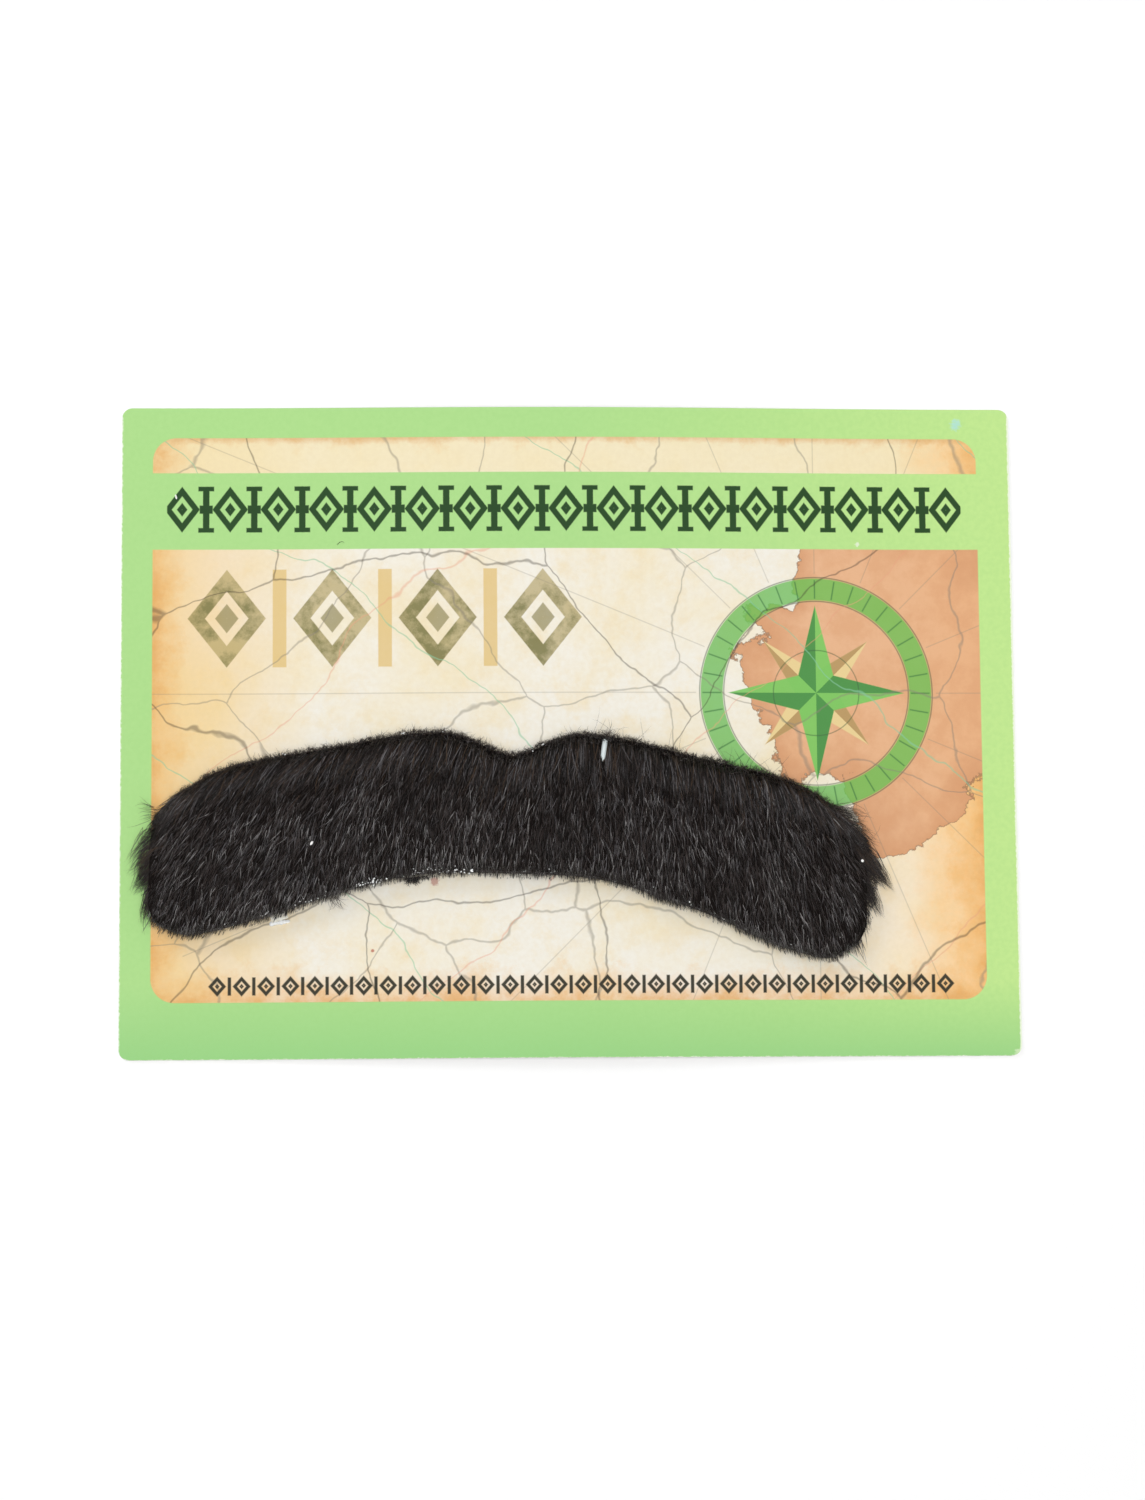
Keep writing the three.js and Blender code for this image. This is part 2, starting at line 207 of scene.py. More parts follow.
def linear(hex_colour):
    """An sRGB hex colour as the linear RGBA that shaders take."""
    parts = [int(hex_colour[start:start + 2], 16) / 255 for start in (1, 3, 5)]
    return [c / 12.92 if c <= 0.04045 else ((c + 0.055) / 1.055) ** 2.4 for c in parts] + [1]


def feed(node, sockets):
    """Gives a node's sockets values or other nodes' outputs."""
    for socket, value in sockets.items():
        if isinstance(value, bpy.types.NodeSocket):
            node.id_data.links.new(value, node.inputs[socket])
        else:
            node.inputs[socket].default_value = value


def add_node(tree, kind, *values, out=0, **settings):
    """Adds a node and returns one output, or all of them where out is None. A word after its
    kind is its operation. Values go to its sockets in order, those in a dict to the named ones."""
    kind, _, operation = kind.partition(" ")
    made = tree.nodes.new("ShaderNode" + kind)
    if operation:
        made.operation = operation
    for name, value in settings.items():
        setattr(made, name, value)
    for position, value in enumerate(values):
        feed(made, value if isinstance(value, dict) else {position: value})
    return made.outputs if out is None else made.outputs[out]


def finish_of(name, **sockets):
    """A material, the call that adds its nodes, and its one shader. sockets are set on the
    shader, with _ for a space in a name."""
    material = bpy.data.materials.new(name)
    material.use_nodes = True
    shader = material.node_tree.nodes["Principled BSDF"]
    feed(shader, {socket.replace("_", " "): value for socket, value in sockets.items()})
    return material, partial(add_node, material.node_tree), shader


def millimetres(add):
    """Object coordinates in millimetres."""
    place = add("TexCoord", out="Object")
    return add("VectorMath SCALE", place, {"Scale": 1 / MM})


def inked(add, distance, blur=0.08):
    """Cover of ink from a signed distance to its edge, negative inside, in millimetres."""
    return add("MapRange", distance, blur, -blur)


def layered(add, base, inks):
    """Lays inks over a base colour, each with its cover and strength."""
    base = linear(base) if isinstance(base, str) else base
    for cover, ink, strength in inks:
        thin = add("Math MULTIPLY", cover, strength)
        colour = ink if isinstance(ink, bpy.types.NodeSocket) else linear(ink)
        base = add("Mix", {0: thin, 6: base, 7: colour}, out=2, data_type="RGBA")
    return base


def all_of(add, *covers):
    """Cover where all of several covers lie."""
    joined = covers[0]
    for cover in covers[1:]:
        joined = add("Math MULTIPLY", joined, cover)
    return joined


def any_of(add, *covers):
    """Cover where any of several covers lies."""
    joined = covers[0]
    for cover in covers[1:]:
        joined = add("Math MAXIMUM", joined, cover)
    return joined


def past_band(add, value, low, high):
    """How far a value lies outside the band between two others, negative within it."""
    off_middle = add("Math SUBTRACT", value, (low + high) / 2)
    away = add("Math ABSOLUTE", off_middle)
    return add("Math SUBTRACT", away, (high - low) / 2)


def reach_from(add, place, centre=(0, 0), scale=(1, 1)):
    """Distance from a centre across the card, with its two axes scaled."""
    away = add("VectorMath SUBTRACT", place, (*centre, 0))
    flat = add("VectorMath MULTIPLY", away, (*scale, 0))
    return add("VectorMath LENGTH", flat, out="Value")


def spot(add, place, centre, radius, ragged=0.0, blur=0.1):
    """Cover of a small mark round a point of the card, with a ragged edge."""
    reach = reach_from(add, place, centre)
    torn = add("TexNoise", {"Vector": place, "Scale": 2.2, "Detail": 2})
    edge = add("Math MULTIPLY_ADD", torn, ragged, -radius - ragged / 2)
    return inked(add, add("Math ADD", reach, edge), blur)


# Print on the card: places and sizes in millimetres
PANEL_CENTRE = (-0.25, 2.45)
PANEL_HALF = (78.85, 53.95)
PANEL_CORNER = 4.5
BAND_CENTRE = 42.2
BAND_HALF = 7.4
BORDER_ROW = {"centre": (-0.45, 42.55), "half": 77.65, "count": 17, "tall": 4.45, "trim": 1.7}
FOOT_ROW = {"centre": (2.05, -48.45), "half": 70.95, "count": 31, "tall": 1.9, "trim": 0.5}
CHAIN_ROW = {"centre": (-35, 21.5), "half": 40, "count": 4, "tall": 9.4, "trim": 2}
ROSE_CENTRE = (47, 7)
LAND_CENTRE = (63, 12)
LAND_HALF = (30, 34)


def motif_row(add, x, y, row):
    """A row of lozenges with bars between: how far out a point lies in its lozenge, where 1
    is the edge, and its distances to the nearest bar's middle and the row's line."""
    pitch = 2 * row["half"] / row["count"]
    left = row["centre"][0] - row["half"] + pitch / 2
    from_first = add("Math SUBTRACT", x, left)
    side = add("Math PINGPONG", from_first, pitch / 2)
    bar = add("Math SUBTRACT", pitch / 2, side)
    off_line = add("Math SUBTRACT", y, row["centre"][1])
    height = add("Math ABSOLUTE", off_line)
    wide = pitch * 0.37
    sideways = add("Math MULTIPLY", side, 1 / wide)
    out = add("Math MULTIPLY_ADD", height, 1 / row["tall"], sideways)
    end = row["half"] - row["trim"]
    inside = inked(add, past_band(add, x, row["centre"][0] - end, row["centre"][0] + end))
    return out, bar, height, inside


def ring_cover(add, out, tall, inner, outer):
    """Cover of a lozenge ring between two shares of the lozenge's size."""
    excess = past_band(add, out, inner, outer)
    return inked(add, add("Math MULTIPLY", excess, tall * 0.6))


def block_cover(add, across, height, half_width, low, high):
    """Cover of a block beside a bar's middle, between two distances from the row's line."""
    wide = add("Math SUBTRACT", across, half_width)
    return inked(add, add("Math MAXIMUM", wide, past_band(add, height, low, high)))


def border_row(add, x, y):
    """Dark lozenges between bars with slabbed ends, as on a woven border."""
    out, bar, height, inside = motif_row(add, x, y, BORDER_ROW)
    tall = BORDER_ROW["tall"]
    rings = [ring_cover(add, out, tall, *limits) for limits in ((0, 0.3), (0.58, 1))]
    stem = block_cover(add, bar, height, 0.62, -1, tall)
    slab = block_cover(add, bar, height, 1.5, tall - 0.9, tall)
    knot = block_cover(add, bar, height, 1.25, -1, 0.8)
    return all_of(add, any_of(add, *rings, stem, slab, knot), inside)


def foot_row(add, x, y):
    """Small lozenges and ticks under the panel's picture."""
    out, bar, height, inside = motif_row(add, x, y, FOOT_ROW)
    tall = FOOT_ROW["tall"]
    rings = [ring_cover(add, out, tall, *limits) for limits in ((0, 0.26), (0.5, 1))]
    tick = block_cover(add, bar, height, 0.32, -1, tall * 0.9)
    return all_of(add, any_of(add, *rings, tick), inside)


def rose_covers(add, place):
    """A plain compass rose: four long and four short points, rings, ticks and rays."""
    away = add("VectorMath SUBTRACT", place, (*ROSE_CENTRE, 0))
    radius = reach_from(add, away)
    parts = add("SeparateXYZ", away, out=None)
    angle = add("Math ARCTAN2", parts["Y"], parts["X"])

    def beside(count, turn):
        """Distances along and beside the nearest of several rays."""
        turned = add("Math SUBTRACT", angle, turn)
        off = add("Math PINGPONG", turned, math.pi / count)
        sine = add("Math SINE", off)
        cosine = add("Math COSINE", off)
        side = add("Math MULTIPLY", radius, sine)
        along = add("Math MULTIPLY", radius, cosine)
        return along, side

    def points(turn, reach, width):
        """Four points, and the half of each that lies on its far side."""
        along, side = beside(4, turn)
        far = add("Math MULTIPLY", along, width / reach)
        edge = add("Math ADD", far, side)
        whole = inked(add, add("Math SUBTRACT", edge, width))
        turned = add("Math SUBTRACT", angle, turn)
        fold = add("Math WRAP", turned, 2 * math.pi + 0.001, 0)
        quarter = add("Math MODULO", fold, math.pi / 2)
        half = add("Math LESS_THAN", quarter, math.pi / 4)
        return whole, all_of(add, whole, half)

    def ring(inner, outer):
        return inked(add, past_band(add, radius, inner, outer))

    def rays(count, half, nearest, farthest):
        _, side = beside(count, 0)
        line = inked(add, add("Math SUBTRACT", side, half))
        return all_of(add, line, ring(nearest, farthest))

    long, long_shade = points(0, 16.8, 4.2)
    short, short_shade = points(math.pi / 4, 14, 3.6)
    return {
        "long": long,
        "long_shade": long_shade,
        "short": short,
        "short_shade": short_shade,
        "band": ring(17.9, 22.1),
        "lines": any_of(add, ring(17.58, 17.82), ring(22.18, 22.42), ring(8.1, 8.3)),
        "ticks": rays(36, 0.14, 18.2, 21.8),
        "rays": rays(16, 0.09, 23, 130),
    }


def map_lines(add, place, cell, half, seed, way=None):
    """Thin wandering lines, as on a map: borders that meet, or single lines along a way."""
    moved = add("VectorMath ADD", place, (seed, seed * 1.7, 0))
    strayed = moved
    for scale, detail, sway in ((0.03, 0, 20), (0.12, 0, 4.5), (0.4, 1, 1.3)):
        noise = add("TexNoise", {"Vector": moved, "Scale": scale, "Detail": detail}, out="Color")
        strayed = add("VectorMath MULTIPLY_ADD", noise, (sway, sway, 0), strayed)
    if way is not None:
        normal = (math.cos(way), math.sin(way), 0)
        off = add("VectorMath DOT_PRODUCT", strayed, normal, out="Value")
        near = add("Math PINGPONG", off, cell / 2)
        return inked(add, add("Math SUBTRACT", near, half), 0.1)
    flat = add("VectorMath MULTIPLY", strayed, (1, 1, 0))
    edge = add("TexVoronoi", {"Vector": flat, "Scale": 1 / cell}, feature="DISTANCE_TO_EDGE")
    away = add("Math MULTIPLY_ADD", edge, cell, -half)
    return inked(add, away, 0.1)


def printed_side():
    """Offset print with a thin matt varnish on coated board: even soft sheen, the ink worn
    through to white board along the cut edges."""
    material, add, shader = finish_of("offset_print_matt_varnish", Roughness=0.5, IOR=1.5,
                                      Specular_IOR_Level=0.15)
    place = millimetres(add)
    axes = add("SeparateXYZ", place, out=None)
    x, y = axes["X"], axes["Y"]

    # Green border, paler to the right and deeper at the foot
    across = add("MapRange", x, 0, 85)
    foot = add("MapRange", y, -48, -62)
    screen = add("TexNoise", {"Vector": place, "Scale": 1.1, "Detail": 3})
    dots = add("MapRange", screen, 0.35, 0.65)
    green = layered(add, "#a7d486", [(across, "#bbdf8a", 1), (foot, "#90c97e", 0.9),
                                      (dots, "#93c877", 0.16)])

    # Parchment, mottled and browner towards its edges, least at the top
    stain_centre = (PANEL_CENTRE[0], PANEL_CENTRE[1] + 2.5, 0)
    off_stain = add("VectorMath SUBTRACT", place, stain_centre)
    stain_side = add("VectorMath ABSOLUTE", off_stain)
    stain_half = (PANEL_HALF[0], PANEL_HALF[1] + 2.5, 0)
    room = add("VectorMath SUBTRACT", stain_half, stain_side)
    rooms = add("SeparateXYZ", room, out=None)
    inside = add("Math MINIMUM", rooms["X"], rooms["Y"])
    cloud = add("TexNoise", {"Vector": place, "Scale": 0.035, "Detail": 5, "Roughness": 0.62})
    mottle = add("TexNoise", {"Vector": place, "Scale": 0.16, "Detail": 6, "Roughness": 0.7})
    wide_stain = add("MapRange", cloud, 0.42, 0.68)
    small_stain = add("MapRange", mottle, 0.48, 0.72)
    left = add("MapRange", x, -48, -82)
    right = add("MapRange", x, 48, 84)
    far_right = add("Math MULTIPLY_ADD", mottle, 16, x)
    sunned = add("MapRange", far_right, 71, 88)
    strip = add("MapRange", y, 46, 50)
    top_stray = add("Math MULTIPLY_ADD", mottle, 3, y)
    top_line = add("MapRange", top_stray, 56.6, 57.9)
    strayed = add("Math MULTIPLY_ADD", mottle, -14, inside)
    margin = add("MapRange", strayed, 0, -8)
    rim = add("MapRange", strayed, -5, -10)
    parchment = layered(add, "#e9e5da", [(wide_stain, "#e9d8ab", 0.65),
        (small_stain, "#e4cc96", 0.42), (left, "#e8bf6c", 0.85), (right, "#f2ce92", 0.85),
        (strip, "#e9dab0", 0.75), (sunned, "#f0b66e", 0.85), (margin, "#e0a85e", 0.75),
        (rim, "#d0924c", 0.5), (top_line, "#cf9c5c", 0.6), (dots, "#d2be94", 0.12)])

    # A faint map of nowhere, with a land, borders, rivers and a compass rose
    land_out = reach_from(add, place, LAND_CENTRE, (1 / LAND_HALF[0], 1 / LAND_HALF[1]))
    shore = add("TexNoise", {"Vector": place, "Scale": 0.055, "Detail": 7, "Roughness": 0.6})
    beach = add("Math MULTIPLY_ADD", shore, 1.5, land_out)
    land_edge = add("Math MULTIPLY_ADD", beach, 28, -47)
    land = inked(add, land_edge, 0.15)
    land_shade = add("MapRange", land_edge, -9, 0)
    shore_line = inked(add, past_band(add, land_edge, -0.3, 0.3))
    rose = rose_covers(add, place)
    borders = map_lines(add, place, 36, 0.15, 3)
    heavy = map_lines(add, place, 68, 0.17, 41)
    rivers = map_lines(add, place, 46, 0.15, 17, 0.9)
    roads = map_lines(add, place, 58, 0.13, 29, 2.3)
    out, bar, height, chain = motif_row(add, x, y, CHAIN_ROW)
    tall = CHAIN_ROW["tall"]
    patch = add("MapRange", mottle, 0.42, 0.6)
    parchment = layered(add, parchment, [
        (all_of(add, ring_cover(add, out, tall, 0.56, 1), chain), "#a89657", 0.72),
        (all_of(add, ring_cover(add, out, tall, 0.56, 1), chain, patch), "#5f6332", 0.72),
        (all_of(add, ring_cover(add, out, tall, 0, 0.3), chain), "#857c48", 0.75),
        (all_of(add, block_cover(add, bar, height, 1.3, -1, tall), chain), "#d8ba78", 0.85),
        (land, "#dda87d", 0.92), (all_of(add, land, land_shade), "#c4885d", 0.6),
        (all_of(add, land, patch), "#cf956a", 0.4), (shore_line, "#7d5f45", 0.6),
        (rose["rays"], "#827a6c", 0.35), (rose["band"], "#63b44e", 0.85),
        (rose["ticks"], "#2f6a38", 0.65), (rose["short"], "#e0c98f", 0.95),
        (rose["short_shade"], "#a07a48", 0.75), (rose["long"], "#76bf5c", 0.95),
        (rose["long_shade"], "#3d8240", 0.85), (rose["lines"], "#3c5c3a", 0.65),
        (borders, "#827a6c", 0.5), (rivers, "#82be96", 0.6), (roads, "#dc9678", 0.45),
        (heavy, "#43392d", 0.55), (foot_row(add, x, y), "#2b2a1d", 0.985)])

    # Panel with round corners, crossed by the green band with its dark border row
    off_centre = add("VectorMath SUBTRACT", place, (*PANEL_CENTRE, 0))
    folded = add("VectorMath ABSOLUTE", off_centre)
    core = (PANEL_HALF[0] - PANEL_CORNER, PANEL_HALF[1] - PANEL_CORNER, 0)
    past = add("VectorMath SUBTRACT", folded, core)
    beyond = add("VectorMath MAXIMUM", past, (0, 0, 0))
    panel = inked(add, add("Math SUBTRACT", reach_from(add, beyond), PANEL_CORNER))
    band = inked(add, past_band(add, y, BAND_CENTRE - BAND_HALF, BAND_CENTRE + BAND_HALF))
    colour = layered(add, green, [(panel, parchment, 1), (band, green, 1),
                                   (border_row(add, x, y), "#163d14", 0.985)])

    # Small marks of handling
    colour = layered(add, colour, [
        (spot(add, place, (74.8, 59.3), 0.9, 1.8, 0.35), "#a4d8e2", 0.62),
        (spot(add, place, (55.4, 35.8), 0.4, 0.5), "#dfe6d0", 0.8),
        (spot(add, place, (-37.5, -41.9), 0.3, 0.3), "#b0583e", 0.8),
        (spot(add, place, (-25.9, -28.9), 0.75, 1.6, 0.2), "#a8594c", 0.62)])

    # Ink worn off along the cut edges, most at the foot and the right side
    from_side = add("Math ABSOLUTE", x)
    from_line = add("Math ABSOLUTE", y)
    side_room = add("Math SUBTRACT", CARD_WIDTH / 2, from_side)
    line_room = add("Math SUBTRACT", CARD_HEIGHT / 2, from_line)
    edge_room = add("Math MINIMUM", side_room, line_room)
    chips = add("TexNoise", {"Vector": place, "Scale": 1.7, "Detail": 4, "Roughness": 0.7})
    reach = add("Math MULTIPLY_ADD", chips, 0.9, -0.64)
    for value, low, high, more in ((x, 83, 84.8, 0.54), (x, -83, -84.8, 0.32), (y, -60.5, -62, 0.2)):
        reach = add("Math ADD", reach, add("MapRange", value, low, high, 0, more))
    worn = inked(add, add("Math SUBTRACT", edge_room, reach), 0.1)
    crushed = spot(add, place, (84.6, -61.8), 0.9, 2.2, 0.3)
    colour = layered(add, colour, [(worn, "#eaeedd", 0.9), (crushed, "#d9e6c2", 0.6)])

    # Faint unevenness of the board under the varnish, and fingered patches in its sheen
    grain = add("TexNoise", {"Vector": place, "Scale": 0.5, "Detail": 4})
    bump = add("Bump", {"Strength": 0.08, "Distance": 0.0004, "Height": grain})
    sheen = add("MapRange", cloud, {"To Min": 0.42, "To Max": 0.6})
    feed(shader, {"Base Color": colour, "Normal": bump, "Roughness": sheen})
    return material


def board_finish(name, hex_colour, flecks):
    """Uncoated solid board: matt, with short pulp fibres that show as faint flecks."""
    material, add, shader = finish_of(name, Roughness=0.85, IOR=1.45)
    place = millimetres(add)
    fibres = add("TexNoise", {"Vector": place, "Scale": 1.8, "Detail": 6, "Roughness": 0.7})
    cover = add("MapRange", fibres, 0.5, 0.72)
    colour = layered(add, hex_colour, [(cover, flecks, 0.5)])
    bump = add("Bump", {"Strength": 0.25, "Distance": 0.0001, "Height": fibres})
    feed(shader, {"Base Color": colour, "Normal": bump})
    return material


def tape_finish():
    """Double-sided cloth tape: off-white, with a fine woven scrim pressed in the adhesive."""
    material, add, shader = finish_of("scrim_tape_with_adhesive", Roughness=0.38, IOR=1.48)
    place = millimetres(add)
    axes = add("SeparateXYZ", place, out=None)
    # Scrim threads every 1 mm, near the real 0.8 mm
    turns = [add("Math MULTIPLY", axes[name], 2 * math.pi) for name in "XY"]
    waves = [add("Math SINE", turn) for turn in turns]
    weave = add("Math MAXIMUM", waves[0], waves[1])
    shade = add("MapRange", weave, -1)
    colour = layered(add, "#d8d2c0", [(shade, "#ece9df", 0.8)])
    bump = add("Bump", {"Strength": 0.3, "Distance": 0.0001, "Height": weave})
    feed(shader, {"Base Color": colour, "Normal": bump})
    return material


def knit_finish():
    """Warp-knitted polyester ground: dark grey, in fine columns of loops with glue on them."""
    material, add, shader = finish_of("warp_knit_ground", Roughness=0.9, IOR=1.5)
    place = millimetres(add)
    axes = add("SeparateXYZ", place, out=None)
    # Columns of loops every 1.1 mm, drawn coarser than the real 0.7 mm
    wale = add("Math MULTIPLY", axes["X"], 2 * math.pi / 1.1)
    course = add("Math MULTIPLY", axes["Y"], 2 * math.pi / 0.9)
    columns = add("Math SINE", wale)
    rows = add("Math SINE", course)
    loops = add("Math MULTIPLY", columns, rows)
    shade = add("MapRange", loops, -1)
    colour = layered(add, "#2a2827", [(shade, "#5a5858", 0.7)])
    bump = add("Bump", {"Strength": 0.5, "Distance": 0.0002, "Height": loops})
    feed(shader, {"Base Color": colour, "Normal": bump})
    return material


def underpile_finish():
    """The felted feet of the fibres: near black, mottled where tufts part."""
    material, add, shader = finish_of("felted_pile_roots", Roughness=0.95, IOR=1.4,
                                      Specular_IOR_Level=0.1)
    place = millimetres(add)
    tufts = add("TexNoise", {"Vector": place, "Scale": 1.2, "Detail": 4})
    colour = layered(add, "#0e0b0a", [(tufts, "#1d1816", 0.8)])
    bump = add("Bump", {"Strength": 0.6, "Distance": 0.0004, "Height": tufts})
    feed(shader, {"Base Color": colour, "Normal": bump})
    return material


def hair_finishes():
    """Spun modacrylic fibre, dyed brown-black: a narrow soft gleam along each fibre. The dye
    takes unevenly, so hairs run from near black through brown. The grey and the bright
    tones are partly painted highlights: the fur's glints set into the colour of single hairs."""
    tones = {
        "black": ("#191514", 0.36, 0.5),
        "brown_black": ("#2a211e", 0.4, 0.5),
        "grey_brown": ("#463d3a", 0.36, 0.6),
        # cool_grey and bright are partly painted highlights, glints given as fibre colour
        "cool_grey": ("#6b686a", 0.34, 0.6),
        "bright": ("#a3a09f", 0.3, 0.7),
        "sunlit_brown": ("#4d3c2d", 0.45, 0.5),
    }
    made = []
    for name, (hex_colour, roughness, gleam) in tones.items():
        made.append(finish_of("modacrylic_fibre_" + name, Base_Color=linear(hex_colour), IOR=1.52,
                              Roughness=roughness, Specular_IOR_Level=gleam)[0])
    return made


def plastic_finish():
    """Natural polypropylene, moulded: milky, with a waxy gleam and fine draw lines."""
    material, add, shader = finish_of("natural_polypropylene", Roughness=0.28, IOR=1.49)
    place = millimetres(add)
    drawn = add("VectorMath MULTIPLY", place, (5, 0.6, 5))
    lines = add("TexNoise", {"Vector": drawn, "Scale": 1, "Detail": 2})
    colour = layered(add, "#e4ecec", [(lines, "#c4d2d6", 0.5)])
    bump = add("Bump", {"Strength": 0.1, "Distance": 0.00005, "Height": lines})
    feed(shader, {"Base Color": colour, "Normal": bump})
    return material


def glue_finish():
    """Hot-melt glue, cooled in drops: clear glue drawn grey-white, partly its own milky colour
    and partly a painted highlight, with brighter clouded patches painted in as small glints.
    """
    material, add, shader = finish_of("hot_melt_glue", Roughness=0.18, IOR=1.5)
    place = millimetres(add)
    cloudy_glint = add("TexNoise", {"Vector": place, "Scale": 2.5, "Detail": 3})
    # Painted highlight: near white with whiter patches, for the glints of clear drops
    colour = layered(add, "#e2e5e6", [(cloudy_glint, "#f8f8f6", 0.85)])
    feed(shader, {"Base Color": colour})
    return material


# Meshes

def piece_from(mesh, name, materials):
    """A bmesh in millimetres as a finished piece that rides with the part."""
    bmesh.ops.recalc_face_normals(mesh, faces=mesh.faces[:])
    bmesh.ops.scale(mesh, vec=(MM, MM, MM), verts=mesh.verts[:])
    data = bpy.data.meshes.new(name)
    mesh.to_mesh(data)
    mesh.free()
    return placed(data, name, materials)


def placed(data, name, materials):
    for material in materials:
        data.materials.append(material)
    piece = bpy.data.objects.new(name, data)
    bpy.context.scene.collection.objects.link(piece)
    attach(piece, "root")
    return piece


def every(mesh):
    return mesh.verts[:] + mesh.edges[:] + mesh.faces[:]


def card_wave(x, y):
    """The board isn't quite flat: it lifts a little towards its edges, never down."""
    reach = np.maximum(np.abs(x) / (CARD_WIDTH / 2), np.abs(y) / (CARD_HEIGHT / 2))
    edge = np.clip((reach - 0.72) / 0.28, 0, 1) ** 1.5
    return edge * (0.16 + 0.12 * soft_noise(x, y, 38, 5))


def make_card():
    """Board with round corners, cut into strips so that it can bow, then given its wall."""
    mesh = bmesh.new()
    bmesh.ops.create_grid(mesh, x_segments=1, y_segments=1, size=1)
    for vert in mesh.verts:
        vert.co.x = math.copysign(CARD_WIDTH / 2, vert.co.x)
        vert.co.y = math.copysign(CARD_HEIGHT / 2, vert.co.y)
    bmesh.ops.bevel(mesh, geom=mesh.verts[:], affect="VERTICES", offset=CARD_CORNER_RADIUS,
                    offset_type="OFFSET", segments=6, profile=0.5, material=-1)
    for axis, half in ((0, CARD_WIDTH / 2), (1, CARD_HEIGHT / 2)):
        normal = Vector((1, 0, 0)) if axis == 0 else Vector((0, 1, 0))
        count = int(2 * half / CARD_CUTS)
        cuts = [-half + 2 * half * step / count for step in range(1, count)]
        cuts = [cut for cut in cuts if abs(cut - PIN_CENTRE[axis]) > CARD_CUTS / 2]
        for cut in cuts + [PIN_CENTRE[axis]]:
            bmesh.ops.bisect_plane(mesh, geom=every(mesh), plane_co=normal * cut, plane_no=normal)
    pierced = min(mesh.verts, key=lambda vert: (vert.co.xy - PIN_CENTRE).length)
    hole = bmesh.ops.bevel(mesh, geom=[pierced], affect="VERTICES", offset=0.45,
                           offset_type="OFFSET", segments=3, profile=0.5, material=-1)
    around = [face for face in hole["faces"] if (face.calc_center_median().xy - PIN_CENTRE).length < 0.1]
    bmesh.ops.delete(mesh, geom=around, context="FACES")
    wall = bmesh.ops.extrude_face_region(mesh, geom=mesh.faces[:])
    raised = [item for item in wall["geom"] if isinstance(item, bmesh.types.BMVert)]
    bmesh.ops.translate(mesh, vec=(0, 0, CARD_THICKNESS), verts=raised)
    mesh.normal_update()
    bmesh.ops.recalc_face_normals(mesh, faces=mesh.faces[:])
    for face in mesh.faces:
        face.material_index = 0 if face.normal.z > 0.5 else 2 if face.normal.z < -0.5 else 1
        face.smooth = True
    for edge in mesh.edges:
        edge.smooth = edge.calc_face_angle(0) < math.radians(40)
    for vert in mesh.verts:
        vert.co.z += float(lift_at(vert.co.x) + card_wave(vert.co.x, vert.co.y))
    finishes = [printed_side(), board_finish("board_core", "#e3e0d8", "#c9c4b6"),
                board_finish("uncoated_board_back", "#c9c5ba", "#a8a294")]
    card = piece_from(mesh, "printed_card", finishes)
    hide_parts("card")
    return card


def band_mesh(inset, top_inset, end_inset, columns, rows):
    """A grid laid over the band's outline, moved in from its edge, still flat. Its verts keep
    their place in the band's own frame."""
    mesh = bmesh.new()
    bmesh.ops.create_grid(mesh, x_segments=columns, y_segments=rows, size=1)
    reach = max(vert.co.x for vert in mesh.verts)
    for vert in mesh.verts:
        along = math.sin(vert.co.x / reach * math.pi / 2) * (FUR_HALF - end_inset)
        low, high = float(bottom_edge(along)), float(top_edge(along))
        step = 0.4
        steep_low = float(bottom_edge(abs(along) + step) - bottom_edge(abs(along))) / step
        steep_high = float(top_edge(abs(along) + step) - top_edge(abs(along))) / step
        low += min(inset * math.hypot(1, steep_low), (high - low) * 0.3)
        high -= min(top_inset * math.hypot(1, steep_high), (high - low) * 0.4)
        share = vert.co.y / reach / 2 + 0.5
        vert.co.xyz = (along, low + (high - low) * share, 0)
    return mesh


def raise_band(mesh, floor, heights):
    """Gives a flat band its walls and top, and lays it on the card."""
    wall = bmesh.ops.extrude_face_region(mesh, geom=mesh.faces[:])
    raised = {item for item in wall["geom"] if isinstance(item, bmesh.types.BMVert)}
    verts = list(mesh.verts)
    along = np.array([vert.co.x for vert in verts])
    across = np.array([vert.co.y for vert in verts])
    x, y = on_card(along, across)
    tops = heights(along, across, x, y)
    lifts = lift_at(x)
    for index, vert in enumerate(verts):
        height = tops[index] if vert in raised else floor
        vert.co.xyz = (x[index], y[index], height + lifts[index])


def make_backing():
    """Knitted ground of the fabric, which shows at the clipped edges."""
    mesh = band_mesh(FABRIC_INSET, FABRIC_INSET, FABRIC_END_INSET, 160, 24)
    area = sum(face.calc_area() for face in mesh.faces)
    lows = min(vert.co.y for vert in mesh.verts)
    highs = max(vert.co.y for vert in mesh.verts)
    raise_band(mesh, FABRIC_LOW, lambda along, across, x, y: np.full(len(x), FABRIC_TOP))
    backing = piece_from(mesh, "knitted_backing", [knit_finish()])
    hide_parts("fur_moustache")
    flat = ((FUR_SPAN - 2 * FABRIC_END_INSET) * MM, (highs - lows) * MM)
    return backing, flat, area * MM * MM


def rise_of(share, feet):
    """How much of its height a hair has at a share of its length. feet is 1 where the hairs
    stand steeply, near the top edge."""
    return 1 - (1 - share) ** (2.2 + 4 * feet)


def pin_place(x, y):
    """Places along and beside the pin's bar, from its middle."""
    turn, lean = math.cos(PIN_LEAN), math.sin(PIN_LEAN)
    off_x, off_y = x - PIN_CENTRE.x, y - PIN_CENTRE.y
    return off_x * lean + off_y * turn, off_x * turn - off_y * lean


def bared_half(along):
    """Half width of the parting over the pin's bar, which closes towards the bar's middle."""
    return 0.62 - 0.95 * np.clip(1 - (along + 0.3) / 2.6, 0, 1)


